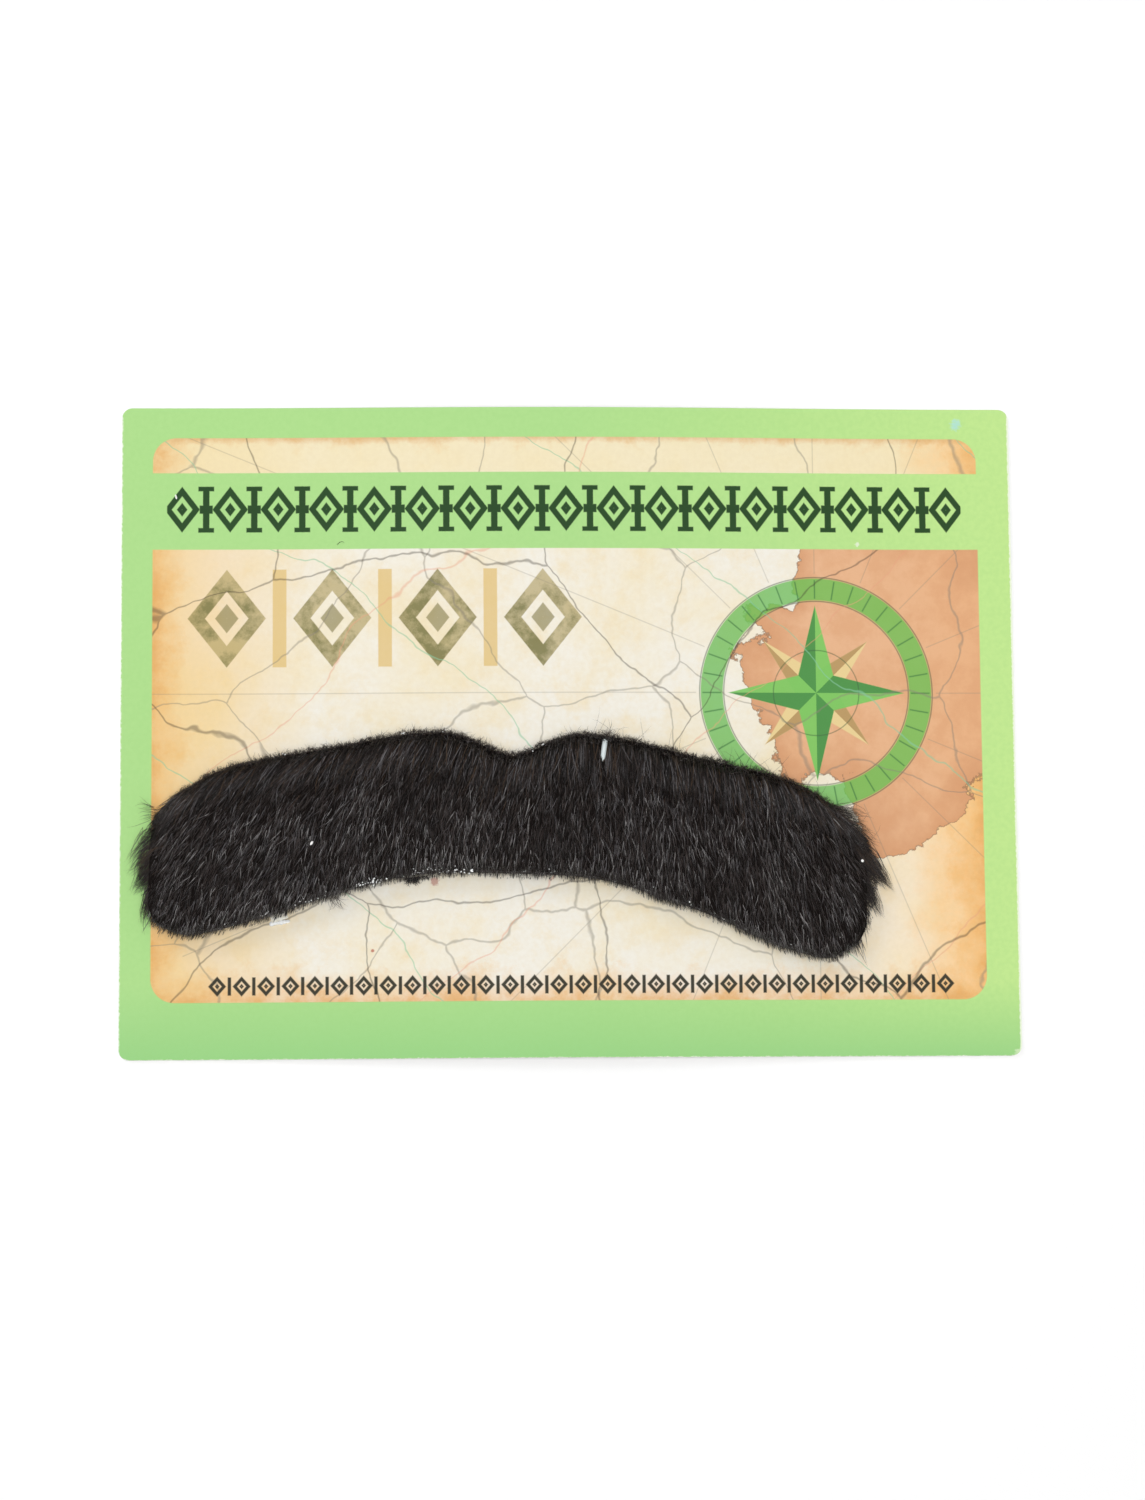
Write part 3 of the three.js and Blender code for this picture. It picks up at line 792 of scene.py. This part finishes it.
def parting_limit(x, y):
    """Highest place that the parting round the pin's visible half leaves to the pile."""
    along, beside = pin_place(x, y)
    away = np.maximum(np.abs(beside) - bared_half(along), 0) + 2.5 * np.maximum(-0.2 - along, 0)
    away = away + 2.5 * np.maximum(along - PIN_BAR_LENGTH / 2 + 0.35, 0)
    return PRESSED_PILE_TOP - 0.1 + 2.6 * away


def make_undercoat():
    """Felted feet of the pile, a closed body that the hairs stand over."""
    mesh = band_mesh(1, 0.35, 2.1, 260, 44)

    def heights(along, across, x, y):
        low, high = bottom_edge(along), top_edge(along)
        from_top = np.clip((high - across) / HAIR_LENGTH, 0, 1)
        rise = 0.3 + 0.7 * rise_of(from_top, np.clip(1 - (high - across) / 3, 0, 1))
        rim = np.minimum(across - low, (FUR_HALF - np.abs(along)) * 1.2)
        rounded = 0.45 + 0.55 * np.clip(rim / 1.8, 0, 1) ** 0.6
        rounded = np.minimum(rounded, 0.2 + 0.8 * np.clip((high - across) / 2.4, 0, 1) ** 0.8)
        near_top = np.clip(1 - (high - across) / 5, 0, 1)
        height = (0.8 - 0.3 * near_top) * pile_height(along, across) * rise * rounded
        height += 0.25 - 0.13 * near_top + 0.22 * soft_noise(along, across, 0.9, 21) * rounded
        return np.minimum(FABRIC_TOP + height, parting_limit(x, y) - 0.1)

    raise_band(mesh, FABRIC_TOP - 0.2, heights)
    for face in mesh.faces:
        face.smooth = True
    undercoat = piece_from(mesh, "pile_undercoat", [underpile_finish()])
    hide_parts("fur_moustache")
    return undercoat


# Hairs: each is four stations of a line, with three corners at all but the tip

def hair_faces():
    """Triangles of one hair: its foot, two spans and its tip."""
    faces = [(0, 2, 1)]
    for ring in (0, 3):
        for side in range(3):
            near, next_near = ring + side, ring + (side + 1) % 3
            faces += [(near, next_near, next_near + 3), (near, next_near + 3, near + 3)]
    return np.array(faces + [(6 + side, 6 + (side + 1) % 3, 9) for side in range(3)])


def hair_piece(name, lines, radii, tones, rng):
    """Many hairs as one joined mesh. lines holds four places for each hair."""
    count = len(lines)
    ways = np.gradient(lines, axis=1)
    ways /= np.linalg.norm(ways, axis=2, keepdims=True) + 1e-9
    level = ways[:, :, :2] / (np.linalg.norm(ways[:, :, :2], axis=2, keepdims=True) + 1e-6)
    sides = np.stack([-level[:, :, 1], level[:, :, 0], np.zeros_like(level[:, :, 0])], axis=2)
    ups = np.cross(ways, sides)
    roll = rng.uniform(0, 2 * math.pi, (count, 1))
    points = np.empty((count, 10, 3))
    for ring in range(3):
        for side in range(3):
            angle = roll + side * 2 * math.pi / 3
            out = np.cos(angle) * sides[:, ring] + np.sin(angle) * ups[:, ring]
            thick = (radii * TAPER[ring])[:, None]
            points[:, ring * 3 + side] = lines[:, ring] + out * thick
    points[:, 9] = lines[:, 3]
    pattern = hair_faces()
    faces = (pattern[None] + 10 * np.arange(count)[:, None, None]).reshape(-1, 3)
    data = bpy.data.meshes.new(name)
    data.vertices.add(count * 10)
    data.vertices.foreach_set("co", (points.reshape(-1) * MM).astype(np.float32))
    data.loops.add(faces.size)
    data.loops.foreach_set("vertex_index", faces.reshape(-1).astype(np.int32))
    data.polygons.add(len(faces))
    data.polygons.foreach_set("loop_start", np.arange(0, faces.size, 3, dtype=np.int32))
    data.polygons.foreach_set("material_index", np.repeat(tones, len(pattern)).astype(np.int32))
    data.polygons.foreach_set("use_smooth", np.ones(len(faces), bool))
    data.update(calc_edges=True)
    return placed(data, name, HAIR_FINISHES)


def laid_hairs(along, across, lean, curl, length, cut, height, feet, drift):
    """Lines of hairs over the band from their roots, lean and length. cut is the share of its
    length where a hair ends, and drift moves its tip sideways in the band's frame."""
    lines = np.empty((len(along), len(STATIONS), 3))
    for index, station in enumerate(STATIONS):
        share = station * cut
        angle = lean + curl * share
        there = along - np.sin(angle) * length * share + drift * share ** 2
        down = across - np.cos(angle) * length * share
        x, y = on_card(there, down)
        up = pile_height(there, down) * height * rise_of(share, feet)
        lines[:, index] = np.stack([x, y, FABRIC_TOP - 0.15 + up + lift_at(x)], axis=1)
    return lines


def tones_for(rng, along, across, lean):
    """Which fibre each hair is. Neighbours in a streak along the combing are alike. Greyer
    tones just above the lower edge are a painted highlight for the glint of the cut ends, and
    darker ones within its last 2 mm are painted shade along the rim."""
    beside = along * np.cos(lean) - across * np.sin(lean)
    streak = 0.6 * soft_noise(beside, across * 0.06, 0.3, 31) + 0.5 * soft_noise(beside, across * 0.2, 1.9, 32)
    low, high = bottom_edge(along), top_edge(along)
    # Painted highlight and shade: greyer up to 11 mm above the lower edge, darker within 2.2 mm of it
    near_cut = np.clip(1 - (across - low) / 11, 0, 1) - 1.1 * np.clip(1 - (across - low) / 2.2, 0, 1)
    near_top = np.clip(1 - (high - across) / 5, 0, 1)
    pick = rng.uniform(size=len(along)) + (0.22 + 0.2 * near_top) * streak
    pick += 0.54 * near_cut - 0.26 * near_top
    limits = (0.3, 0.6, 0.83, 0.965)
    tones = sum((pick > limit).astype(int) for limit in limits)
    stand_out = rng.uniform(size=len(along))
    tones = np.where(stand_out < 0.14 * near_top, 3, tones)
    return np.where(stand_out > 1 - 0.1 * near_top, 5, tones)


def outside(along, across):
    """How far a place lies outside the band's lower edge or ends, negative inside."""
    step = 0.2
    out = np.abs(along)
    steep = (bottom_edge(out + step) - bottom_edge(out - step)) / (2 * step)
    below = (bottom_edge(along) - across) / np.hypot(1, steep)
    trimmed = np.where(along < 0, 2.2, 1.3 + 2 * np.clip((-13 - across) / 9, 0, 1))
    return np.maximum(below, out - FUR_HALF + trimmed)


def clip_hairs(rng, along, across, lean, curl, length, drift, shorter):
    """The share of its length at which the shears cut each hair. The lower edge is clipped
    close, and hairs stray a little past the ends. shorter is how far inside a hair stops."""
    at_end = np.clip((np.abs(along) / FUR_HALF - 0.86) / 0.12, 0, 1)
    stray = 0.35 + 0.35 * rng.uniform(size=len(along)) ** 3
    stray += 0.26 * soft_noise(along, 0, 0.8, 41) + 0.24 * soft_noise(along, 0, 3.1, 42)
    stray += at_end * (rng.exponential(0.6, len(along)) - 1)
    stray += 0.6 * at_end * soft_noise(across, along * 0.2, 1.5, 45) - shorter
    cut = np.full(len(along), 0.05)
    whole = np.ones(len(along), bool)
    for share in np.linspace(0.05, 1, 24):
        angle = lean + curl * share
        there = along - np.sin(angle) * length * share + drift * share ** 2
        whole &= outside(there, across - np.cos(angle) * length * share) < stray
        cut = np.where(whole, share, cut)
    return cut


def grow_pile(rng):
    """The pile, combed down and outwards, and clipped along the lower edge."""
    tries = rng.uniform(size=(int(PILE_HAIRS * 1.9), 3))
    along = (tries[:, 0] * 2 - 1) * FUR_HALF
    low, high = bottom_edge(along), top_edge(along)
    kept = tries[:, 1] * (high - low).max() < high - low
    along, share = along[kept][:PILE_HAIRS], tries[kept, 2][:PILE_HAIRS]
    low, high = bottom_edge(along), top_edge(along)
    across = low + (high - low) * share
    count = len(along)
    at_rim = rng.uniform(size=count) < 0.07
    across = np.where(at_rim, high - 0.1 - 1.1 * rng.uniform(size=count), across)
    at_foot = (across - low < 2.4) & (rng.uniform(size=count) < 0.75)
    across = np.where(at_foot, low + 2.4 + 5 * rng.uniform(size=count), across)
    share = (across - low) / (high - low)

    # Combed outwards most near the top edge, and turning downwards on the way to the lower one
    combed = np.radians(read_table(COMBING, "along", "lean", along / FUR_HALF))
    lean = combed * (0.5 + 0.85 * share)
    lean += np.radians(5) * soft_noise(along, across, 9, 1)
    lean += np.radians(4.5) * soft_noise(along, across * 0.4, 2.3, 2)
    lean += rng.normal(0, np.radians(3.8), count)
    curl = rng.normal(0, np.radians(8), count) - 0.15 * combed
    length = HAIR_LENGTH * (1 + 0.14 * rng.normal(size=count).clip(-2, 2))

    # Hairs gather in narrow locks: each tip is drawn to the middle of its lock
    lock = np.array([1.25, 3.4])
    cell = np.floor(np.stack([along, across], axis=1) / lock + 400).astype(int)
    middles = rng.uniform(0.2, 0.8, (128, 128, 2))[cell[:, 0] % 128, cell[:, 1] % 128]
    pull = ((cell - 400 + middles) * lock)[:, 0] - along
    drift = 0.3 * pull
    tones = tones_for(rng, along, across, lean)
    # Grey and bright hairs stop 0.75 mm short, so only dark ones reach the lower rim: painted shade there
    shorter = 0.75 * (tones > 1)
    cut = clip_hairs(rng, along, across, lean, curl, length, drift, shorter)

    height = 1.04 - 0.34 * rng.uniform(size=count) ** 1.6
    height += 0.05 * soft_noise(along, across, 1.6, 3)
    feet = np.clip(1 - (high - across) / 3, 0, 1)
    lines = laid_hairs(along, across, lean, curl, length, cut, height, feet, drift)
    limit = parting_limit(lines[:, :, 0], lines[:, :, 1]) + lift_at(lines[:, :, 0])
    lines[:, :, 2] = np.minimum(lines[:, :, 2], limit)
    clear = ~crosses_pin(lines)
    radii = HAIR_RADIUS * (1 + 0.22 * rng.normal(size=count).clip(-2, 2))

    order = np.argsort(along, kind="stable")
    order = order[clear[order]]
    names = ("far_left", "left", "middle", "right", "far_right")
    pieces = []
    for name, part in zip(names, np.array_split(order, PILE_PIECES)):
        pieces.append(hair_piece("pile_" + name, lines[part], radii[part], tones[part], rng))
    return pieces


def crosses_pin(lines):
    """Which hairs would cross the bare half of the pin's bar."""
    crossing = np.zeros(len(lines), bool)
    for span in range(3):
        for share in (0, 0.25, 0.5, 0.75, 1):
            spot_there = lines[:, span] * (1 - share) + lines[:, span + 1] * share
            along, beside = pin_place(spot_there[:, 0], spot_there[:, 1])
            up = spot_there[:, 2] - lift_at(spot_there[:, 0])
            over_end = (along > PIN_BAR_LENGTH / 2 - 1.1) & (up > PIN_BAR_TOP + 0.08)
            near = (np.abs(beside) < bared_half(along)) & (along < PIN_BAR_LENGTH / 2 + 0.1)
            near &= along > -0.2
            crossing |= near & (up > PRESSED_PILE_TOP + 0.1) & ~over_end
    return crossing


def hang_wall_hairs(rng):
    """Lines of short hairs that hang over the fabric's cut wall along the top edge."""
    along = (rng.uniform(size=WALL_HAIRS) * 2 - 1) * FUR_HALF * 0.985
    across = top_edge(along) - 0.35 - 0.6 * rng.uniform(size=WALL_HAIRS)
    across += 0.28 * soft_noise(along, 0, 0.9, 43) + 0.2 * soft_noise(along, 0, 2.7, 44)
    steep = (top_edge(along + 0.4) - top_edge(along - 0.4)) / 0.8
    way = np.arctan(steep) + math.pi / 2 + rng.normal(0, 0.7, WALL_HAIRS)
    reach = rng.uniform(0.3, 0.95, WALL_HAIRS)
    start = rng.uniform(0.25, 1.05, WALL_HAIRS) * pile_height(along, across)
    drop = rng.uniform(0.3, 1.5, WALL_HAIRS)
    lines = np.empty((WALL_HAIRS, 4, 3))
    for index, station in enumerate(STATIONS):
        x, y = on_card(along + np.cos(way) * reach * station, across + np.sin(way) * reach * station)
        up = start - drop * station ** 1.5
        lines[:, index] = np.stack([x, y, FABRIC_TOP + up + lift_at(x)], axis=1)
    return lines


def grow_top_fuzz(rng):
    """Short curled fibres that stand out over the top edge, browner against the light."""
    along = (rng.uniform(size=EDGE_HAIRS) * 2 - 1) * FUR_HALF * 0.97
    count = len(along)
    # Some gather over the top end of the pin's bar
    bar_end = PIN_CENTRE.x + PIN_BAR_LENGTH / 2 * math.sin(PIN_LEAN) - FUR_CENTRE.x
    at_pin = rng.uniform(size=count) < 0.025
    along = np.where(at_pin, bar_end + rng.normal(0, 1.1, count), along)
    across = top_edge(along) - 0.1 - 2.2 * rng.uniform(size=count) ** 1.6
    across += 0.25 * soft_noise(along, 0, 0.9, 43)
    steep = (top_edge(along + 0.4) - top_edge(along - 0.4)) / 0.8
    out = np.arctan(steep) + math.pi / 2
    inside = np.clip((top_edge(along) - across - 0.6) / 1.2, 0, 1)
    turn = rng.normal(0, 0.75 + 1.2 * inside, count)
    curl = rng.normal(0, 1.5, count)
    length = 0.4 + 0.34 * rng.exponential(1, count).clip(0, 3.6)
    length *= 1 + 0.5 * soft_noise(along, across, 6, 8)
    swept = (rng.uniform(size=count) < 0.03) & (along > 0.2 * FUR_HALF)
    length = np.where(swept, rng.uniform(3, 6, count), length)
    by_pin, beside_pin = pin_place(*on_card(along, across))
    over_pin = np.exp(-(beside_pin / 1.6) ** 2) * (by_pin > PIN_BAR_LENGTH / 2 - 0.8)
    base = 0.35 + 0.75 * rng.uniform(size=count) ** 1.5 + 0.9 * inside + 1.1 * over_pin
    lines = np.empty((count, 4, 3))
    there, up = np.stack([along, across], axis=1), 0.3 + 1.5 * base
    for index, station in enumerate(STATIONS):
        if index:
            angle = out + turn + curl * station
            step = (length * (station - STATIONS[index - 1]))[:, None]
            there = there + np.stack([np.cos(angle), np.sin(angle)], axis=1) * step
        x, y = on_card(there[:, 0], there[:, 1])
        arch = up + 0.5 * base * math.sin(station * 2.4)
        lines[:, index] = np.stack([x, y, FABRIC_TOP + arch + lift_at(x)], axis=1)
    radii = HAIR_RADIUS * np.where(inside > 0.4, 0.7, 0.36)
    tones = rng.choice([1, 2, 5], count, p=[0.25, 0.15, 0.6])
    tones = np.where(inside > 0.4, rng.choice([0, 1, 2, 3], count, p=[0.45, 0.4, 0.12, 0.03]), tones)
    lines = np.concatenate([lines, hang_wall_hairs(rng)])
    radii = np.concatenate([radii, HAIR_RADIUS * np.full(WALL_HAIRS, 0.85)])
    tones = np.concatenate([tones, rng.choice([0, 1, 2], WALL_HAIRS, p=[0.4, 0.45, 0.15])])
    clear = ~crosses_pin(lines)
    return hair_piece("top_edge_fuzz", lines[clear], radii[clear], tones[clear], rng)


def grow_end_wisps(rng):
    """Loose wisps that stray past the two ends over the card, each drawn to a point."""
    parts = []
    for from_along, from_across, to_along, to_across, spread, fray, hairs in zip(*WISPS.values()):
        roots = np.array([from_along, from_across]) + spread * rng.normal(0, 0.75, (hairs, 2)).clip(-1.6, 1.6)
        tips = np.array([to_along, to_across]) + fray * rng.normal(0, 0.6, (hairs, 2))
        ways = (tips - roots) * (1 - 0.6 * rng.uniform(size=hairs) ** 0.8)[:, None]
        bow = rng.normal(0, 0.09, hairs)[:, None] * np.stack([-ways[:, 1], ways[:, 0]], axis=1)
        start_up = pile_height(roots[:, 0], roots[:, 1]) * rng.uniform(0.35, 0.95, hairs)
        end_up = rng.uniform(0.5, 1.6, hairs)
        lines = np.empty((hairs, 4, 3))
        for index, station in enumerate(STATIONS):
            there = roots + ways * station + bow * math.sin(math.pi * station)
            x, y = on_card(there[:, 0], there[:, 1])
            up = start_up * (1 - station) + end_up * station + 0.3 * math.sin(math.pi * station)
            lines[:, index] = np.stack([x, y, FABRIC_TOP + up + lift_at(x)], axis=1)
        parts.append(lines)
    lines = np.concatenate(parts)
    count = len(lines)
    tones = rng.choice([0, 1, 2, 5], count, p=[0.35, 0.35, 0.15, 0.15])
    radii = HAIR_RADIUS * rng.uniform(0.4, 0.65, count)
    return hair_piece("end_wisps", lines, radii, tones, rng)


def make_pin():
    """Tag pin: a bar in front, a thread through everything and a bar behind, one moulding."""
    mesh = bmesh.new()
    lift = float(lift_at(PIN_CENTRE.x))
    front = PRESSED_PILE_TOP + PIN_SEAT + PIN_BAR_DIAMETER / 2
    back = -PIN_SEAT - PIN_BAR_DIAMETER / 2
    lay = Matrix.Rotation(-PIN_LEAN, 4, "Z") @ Matrix.Rotation(math.radians(90), 4, "X")
    for height in (front, back):
        place = Matrix.Translation((PIN_CENTRE.x, PIN_CENTRE.y, height + lift)) @ lay
        bar = bmesh.ops.create_cone(mesh, cap_ends=True, segments=24, depth=PIN_BAR_LENGTH,
                                    radius1=PIN_BAR_DIAMETER / 2, radius2=PIN_BAR_DIAMETER / 2,
                                    matrix=place)
        ends = {edge for vert in bar["verts"] for edge in vert.link_edges
                if any(len(face.verts) > 4 for face in edge.link_faces)}
        bmesh.ops.bevel(mesh, geom=list(ends), affect="EDGES", offset=0.22, segments=4,
                        profile=0.5, material=-1)
    middle = Matrix.Translation((PIN_CENTRE.x, PIN_CENTRE.y, lift + (front + back) / 2))
    bmesh.ops.create_cone(mesh, cap_ends=True, segments=20, depth=front - back,
                          radius1=PIN_THREAD_DIAMETER / 2, radius2=PIN_THREAD_DIAMETER / 2,
                          matrix=middle)
    for face in mesh.faces:
        face.smooth = len(face.verts) <= 4
    pin = piece_from(mesh, "clear_tag_pin", [plastic_finish()])
    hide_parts("tag_pin")
    return pin


def add_bead(mesh, centre, size, turn=0.0):
    """A small drop of three radii at a point."""
    place = Matrix.Translation(centre) @ Matrix.Rotation(turn, 4, "Z") @ Matrix.Diagonal((*size, 1))
    bmesh.ops.create_icosphere(mesh, subdivisions=2, radius=1, matrix=place)


# Glue that shows among the cut ends along the lower edge, and bits of glued backing at the
# top edge: middle and half width of each patch along x, its count of beads and their radius
LOWER_GLUE = {
    "middle": (-38.4, -35.6, -26.5, -20, -48.5, -57.5, 22.5, -4, 34, -64, 12),
    "half": (1.6, 1.4, 5, 1.9, 3.2, 1.6, 0.3, 6, 8, 3, 4),
    "count": (14, 12, 22, 16, 12, 6, 3, 7, 8, 4, 4),
    "radius": (0.19, 0.19, 0.12, 0.19, 0.13, 0.12, 0.18, 0.1, 0.1, 0.1, 0.1),
}
UPPER_GLUE = {
    "middle": (-32.2, -24.5, -7.8, -5.9, -54.3),
    "half": (0.35, 0.3, 0.3, 0.4, 0.3),
    "count": (3, 3, 3, 3, 3),
    "radius": (0.17, 0.15, 0.15, 0.17, 0.15),
}


def make_glue(rng):
    """Glue at the tape's corner, in beads along the lower edge and at the top edge."""
    mesh = bmesh.new()
    for patches, edge, inward, deep in ((LOWER_GLUE, bottom_edge, 0.85, 0.35),
                                        (UPPER_GLUE, top_edge, -0.45, 0.25)):
        for middle, half, count, radius in zip(*patches.values()):
            for part in range(count):
                along = (middle + half * rng.uniform(-1, 1) - FUR_CENTRE.x) / math.cos(FUR_TILT)
                across = float(edge(along)) + inward + deep * rng.normal()
                size = radius * rng.uniform(0.35, 1, 3)
                x, y = on_card(along, across)
                up = FABRIC_TOP + 0.4 + float(pile_height(along, across) * 1.03 + lift_at(x))
                add_bead(mesh, (x, y, up), size, rng.uniform(0, 3))
    for part in range(6):
        share = part / 5 - 0.5
        x, y = -54.9 + 3 * share, -36.5 + 0.45 * share
        up = CARD_THICKNESS + 0.15 + float(lift_at(x)) + 0.1 * rng.uniform()
        add_bead(mesh, (x, y, up), (0.5, 0.42 + 0.1 * math.cos(part * 2), 0.3), 0.15)
    for face in mesh.faces:
        face.smooth = True
    return piece_from(mesh, "glue_beads", [glue_finish()])


def make_lint():
    """White specks of lint on the fur and one on the print."""
    mesh = bmesh.new()
    for x, y, up, size, turn in ((-48.8, -22.3, 7.9, (0.24, 0.48, 0.12), -0.6),
                                 (54.6, -25.8, 6.6, (0.27, 0.3, 0.14), 0.0),
                                 (-74.7, 45.0, 0.72, (0.18, 0.5, 0.08), 0.3)):
        wave = float(card_wave(x, y)) if up < 1 else 0
        add_bead(mesh, (x, y, up + wave + float(lift_at(x))), size, turn)
    for face in mesh.faces:
        face.smooth = True
    return piece_from(mesh, "white_lint", [board_finish("cotton_lint", "#f4f3f0", "#e0dedb")])


# Single loose hairs on the print: the points of each, x and y
LOOSE_PATHS = [
    [(-44.1, 35.6), (-43.6, 36.1), (-43.1, 36.2), (-42.6, 35.9)],
    [(-28.6, -28.2), (-29.2, -28.9), (-28.4, -29.3), (-27.9, -28.9)],
    [(-30.1, -28.3), (-29.6, -29.1), (-29.0, -29.2), (-28.8, -28.6)],
]
# Tufts that hang past the lower edge: middle, half width, reach, count, lean and fibre
TUFTS = {
    "x": (-44.4, -29.5, -27.7),
    "half": (1.1, 0.9, 0.9),
    "reach": (3.6, 1.5, 0.8),
    "count": (16, 60, 30),
    "lean": (-18, 4, -20),
    "fibre": (5, 0, 0),
}


def make_loose_hairs(rng):
    """Loose hairs on the print, and tufts that hang past the clipped edge."""
    lines = []
    tones = []
    for path in LOOSE_PATHS:
        ups = [CARD_THICKNESS + HAIR_RADIUS + float(lift_at(x) + card_wave(x, y)) for x, y in path]
        lines.append([(x, y, up + 0.15 * step) for step, ((x, y), up) in enumerate(zip(path, ups))])
        tones.append(0)
    for x, half, reach, count, lean, fibre in zip(*TUFTS.values()):
        for hair in range(count):
            along = (x + half * rng.uniform(-1, 1) - FUR_CENTRE.x) / math.cos(FUR_TILT)
            across = float(bottom_edge(along)) + 0.4
            angle = math.radians(lean + rng.normal(0, 20))
            length = reach * rng.uniform(0.4, 1) + 0.4
            curl = rng.normal(0, 0.5)
            line = []
            for station in STATIONS:
                way = angle + curl * station
                there = on_card(along - math.sin(way) * length * station,
                                across - math.cos(way) * length * station)
                drop = FABRIC_LOW + 0.8 * (1 - station) + 0.4 * rng.uniform()
                line.append((*there, drop + float(lift_at(there[0]))))
            lines.append(line)
            tones.append(fibre)
    radii = HAIR_RADIUS * np.where(np.array(tones) == 5, 0.4, 0.8)
    return hair_piece("loose_hairs", np.array(lines), radii, np.array(tones), rng)


HAIR_FINISHES = hair_finishes()
rng = np.random.default_rng(SEED)
make_card()
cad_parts["adhesive_tape"].data.materials.clear()
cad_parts["adhesive_tape"].data.materials.append(tape_finish())
backing, backing_flat, backing_area = make_backing()
undercoat = make_undercoat()
pile = grow_pile(rng)
fuzz = grow_top_fuzz(rng)
end_wisps = grow_end_wisps(rng)
make_loose_hairs(rng)
for piece in [*pile, fuzz, end_wisps]:
    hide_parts("fur_moustache")
make_pin()
make_glue(rng)
make_lint()


# Stage, light and camera

def make_stage():
    mesh = bmesh.new()
    bmesh.ops.create_grid(mesh, x_segments=1, y_segments=1, size=4)
    data = bpy.data.meshes.new("white_table")
    mesh.to_mesh(data)
    mesh.free()
    material, _, shader = finish_of("white_laminate", Roughness=0.7)
    shader.inputs["Base Color"].default_value = linear("#f5f5f5")
    data.materials.append(material)
    table = bpy.data.objects.new("white_table", data)
    bpy.context.scene.collection.objects.link(table)


def make_lights():
    world = bpy.data.worlds.new("white_room")
    world.use_nodes = True
    add = partial(add_node, world.node_tree)
    way = add("TexCoord", out="Generated")
    height = add("SeparateXYZ", way, out="Z")
    limits = {"Value": height, "From Min": 0.05, "From Max": 0.3, "To Min": 0.95, "To Max": 0.27}
    background = world.node_tree.nodes["Background"]
    background.inputs["Color"].default_value = (1, 1, 1, 1)
    feed(background, {"Strength": add("MapRange", limits)})
    bpy.context.scene.world = world
    overhead = bpy.data.lights.new("overhead", "SUN")
    overhead.angle = math.radians(30)
    overhead.energy = 2.2
    window = bpy.data.lights.new("window", "AREA")
    window.shape = "DISK"
    window.size = 0.6
    window.energy = 2.8
    for lamp, place in ((overhead, (0.0, -0.17, 1.3)), (window, (-0.6, 0.6, 0.9))):
        light = bpy.data.objects.new(lamp.name, lamp)
        light.location = place
        light.rotation_mode = "QUATERNION"
        light.rotation_quaternion = (-Vector(place)).to_track_quat("-Z", "Y")
        bpy.context.scene.collection.objects.link(light)


def make_camera():
    """The photograph's view: nearly straight down, from a little below and left of middle."""
    lens = bpy.data.cameras.new("camera")
    lens.lens = 100
    lens.sensor_width = 36
    lens.clip_start = 0.01
    camera = bpy.data.objects.new("camera", lens)
    tilt, pan, roll = (math.radians(angle) for angle in (7.81, -2.71, -0.12))
    turn = (Matrix.Rotation(tilt, 4, "X") @ Matrix.Rotation(pan, 4, "Y")
            @ Matrix.Rotation(roll, 4, "Z"))
    camera.matrix_world = Matrix.Translation(Vector((-36.9, -111.1, 783.0)) * MM) @ turn
    bpy.context.scene.collection.objects.link(camera)
    bpy.context.scene.camera = camera


make_stage()
make_lights()
make_camera()
bpy.context.scene.view_settings.view_transform = "Standard"
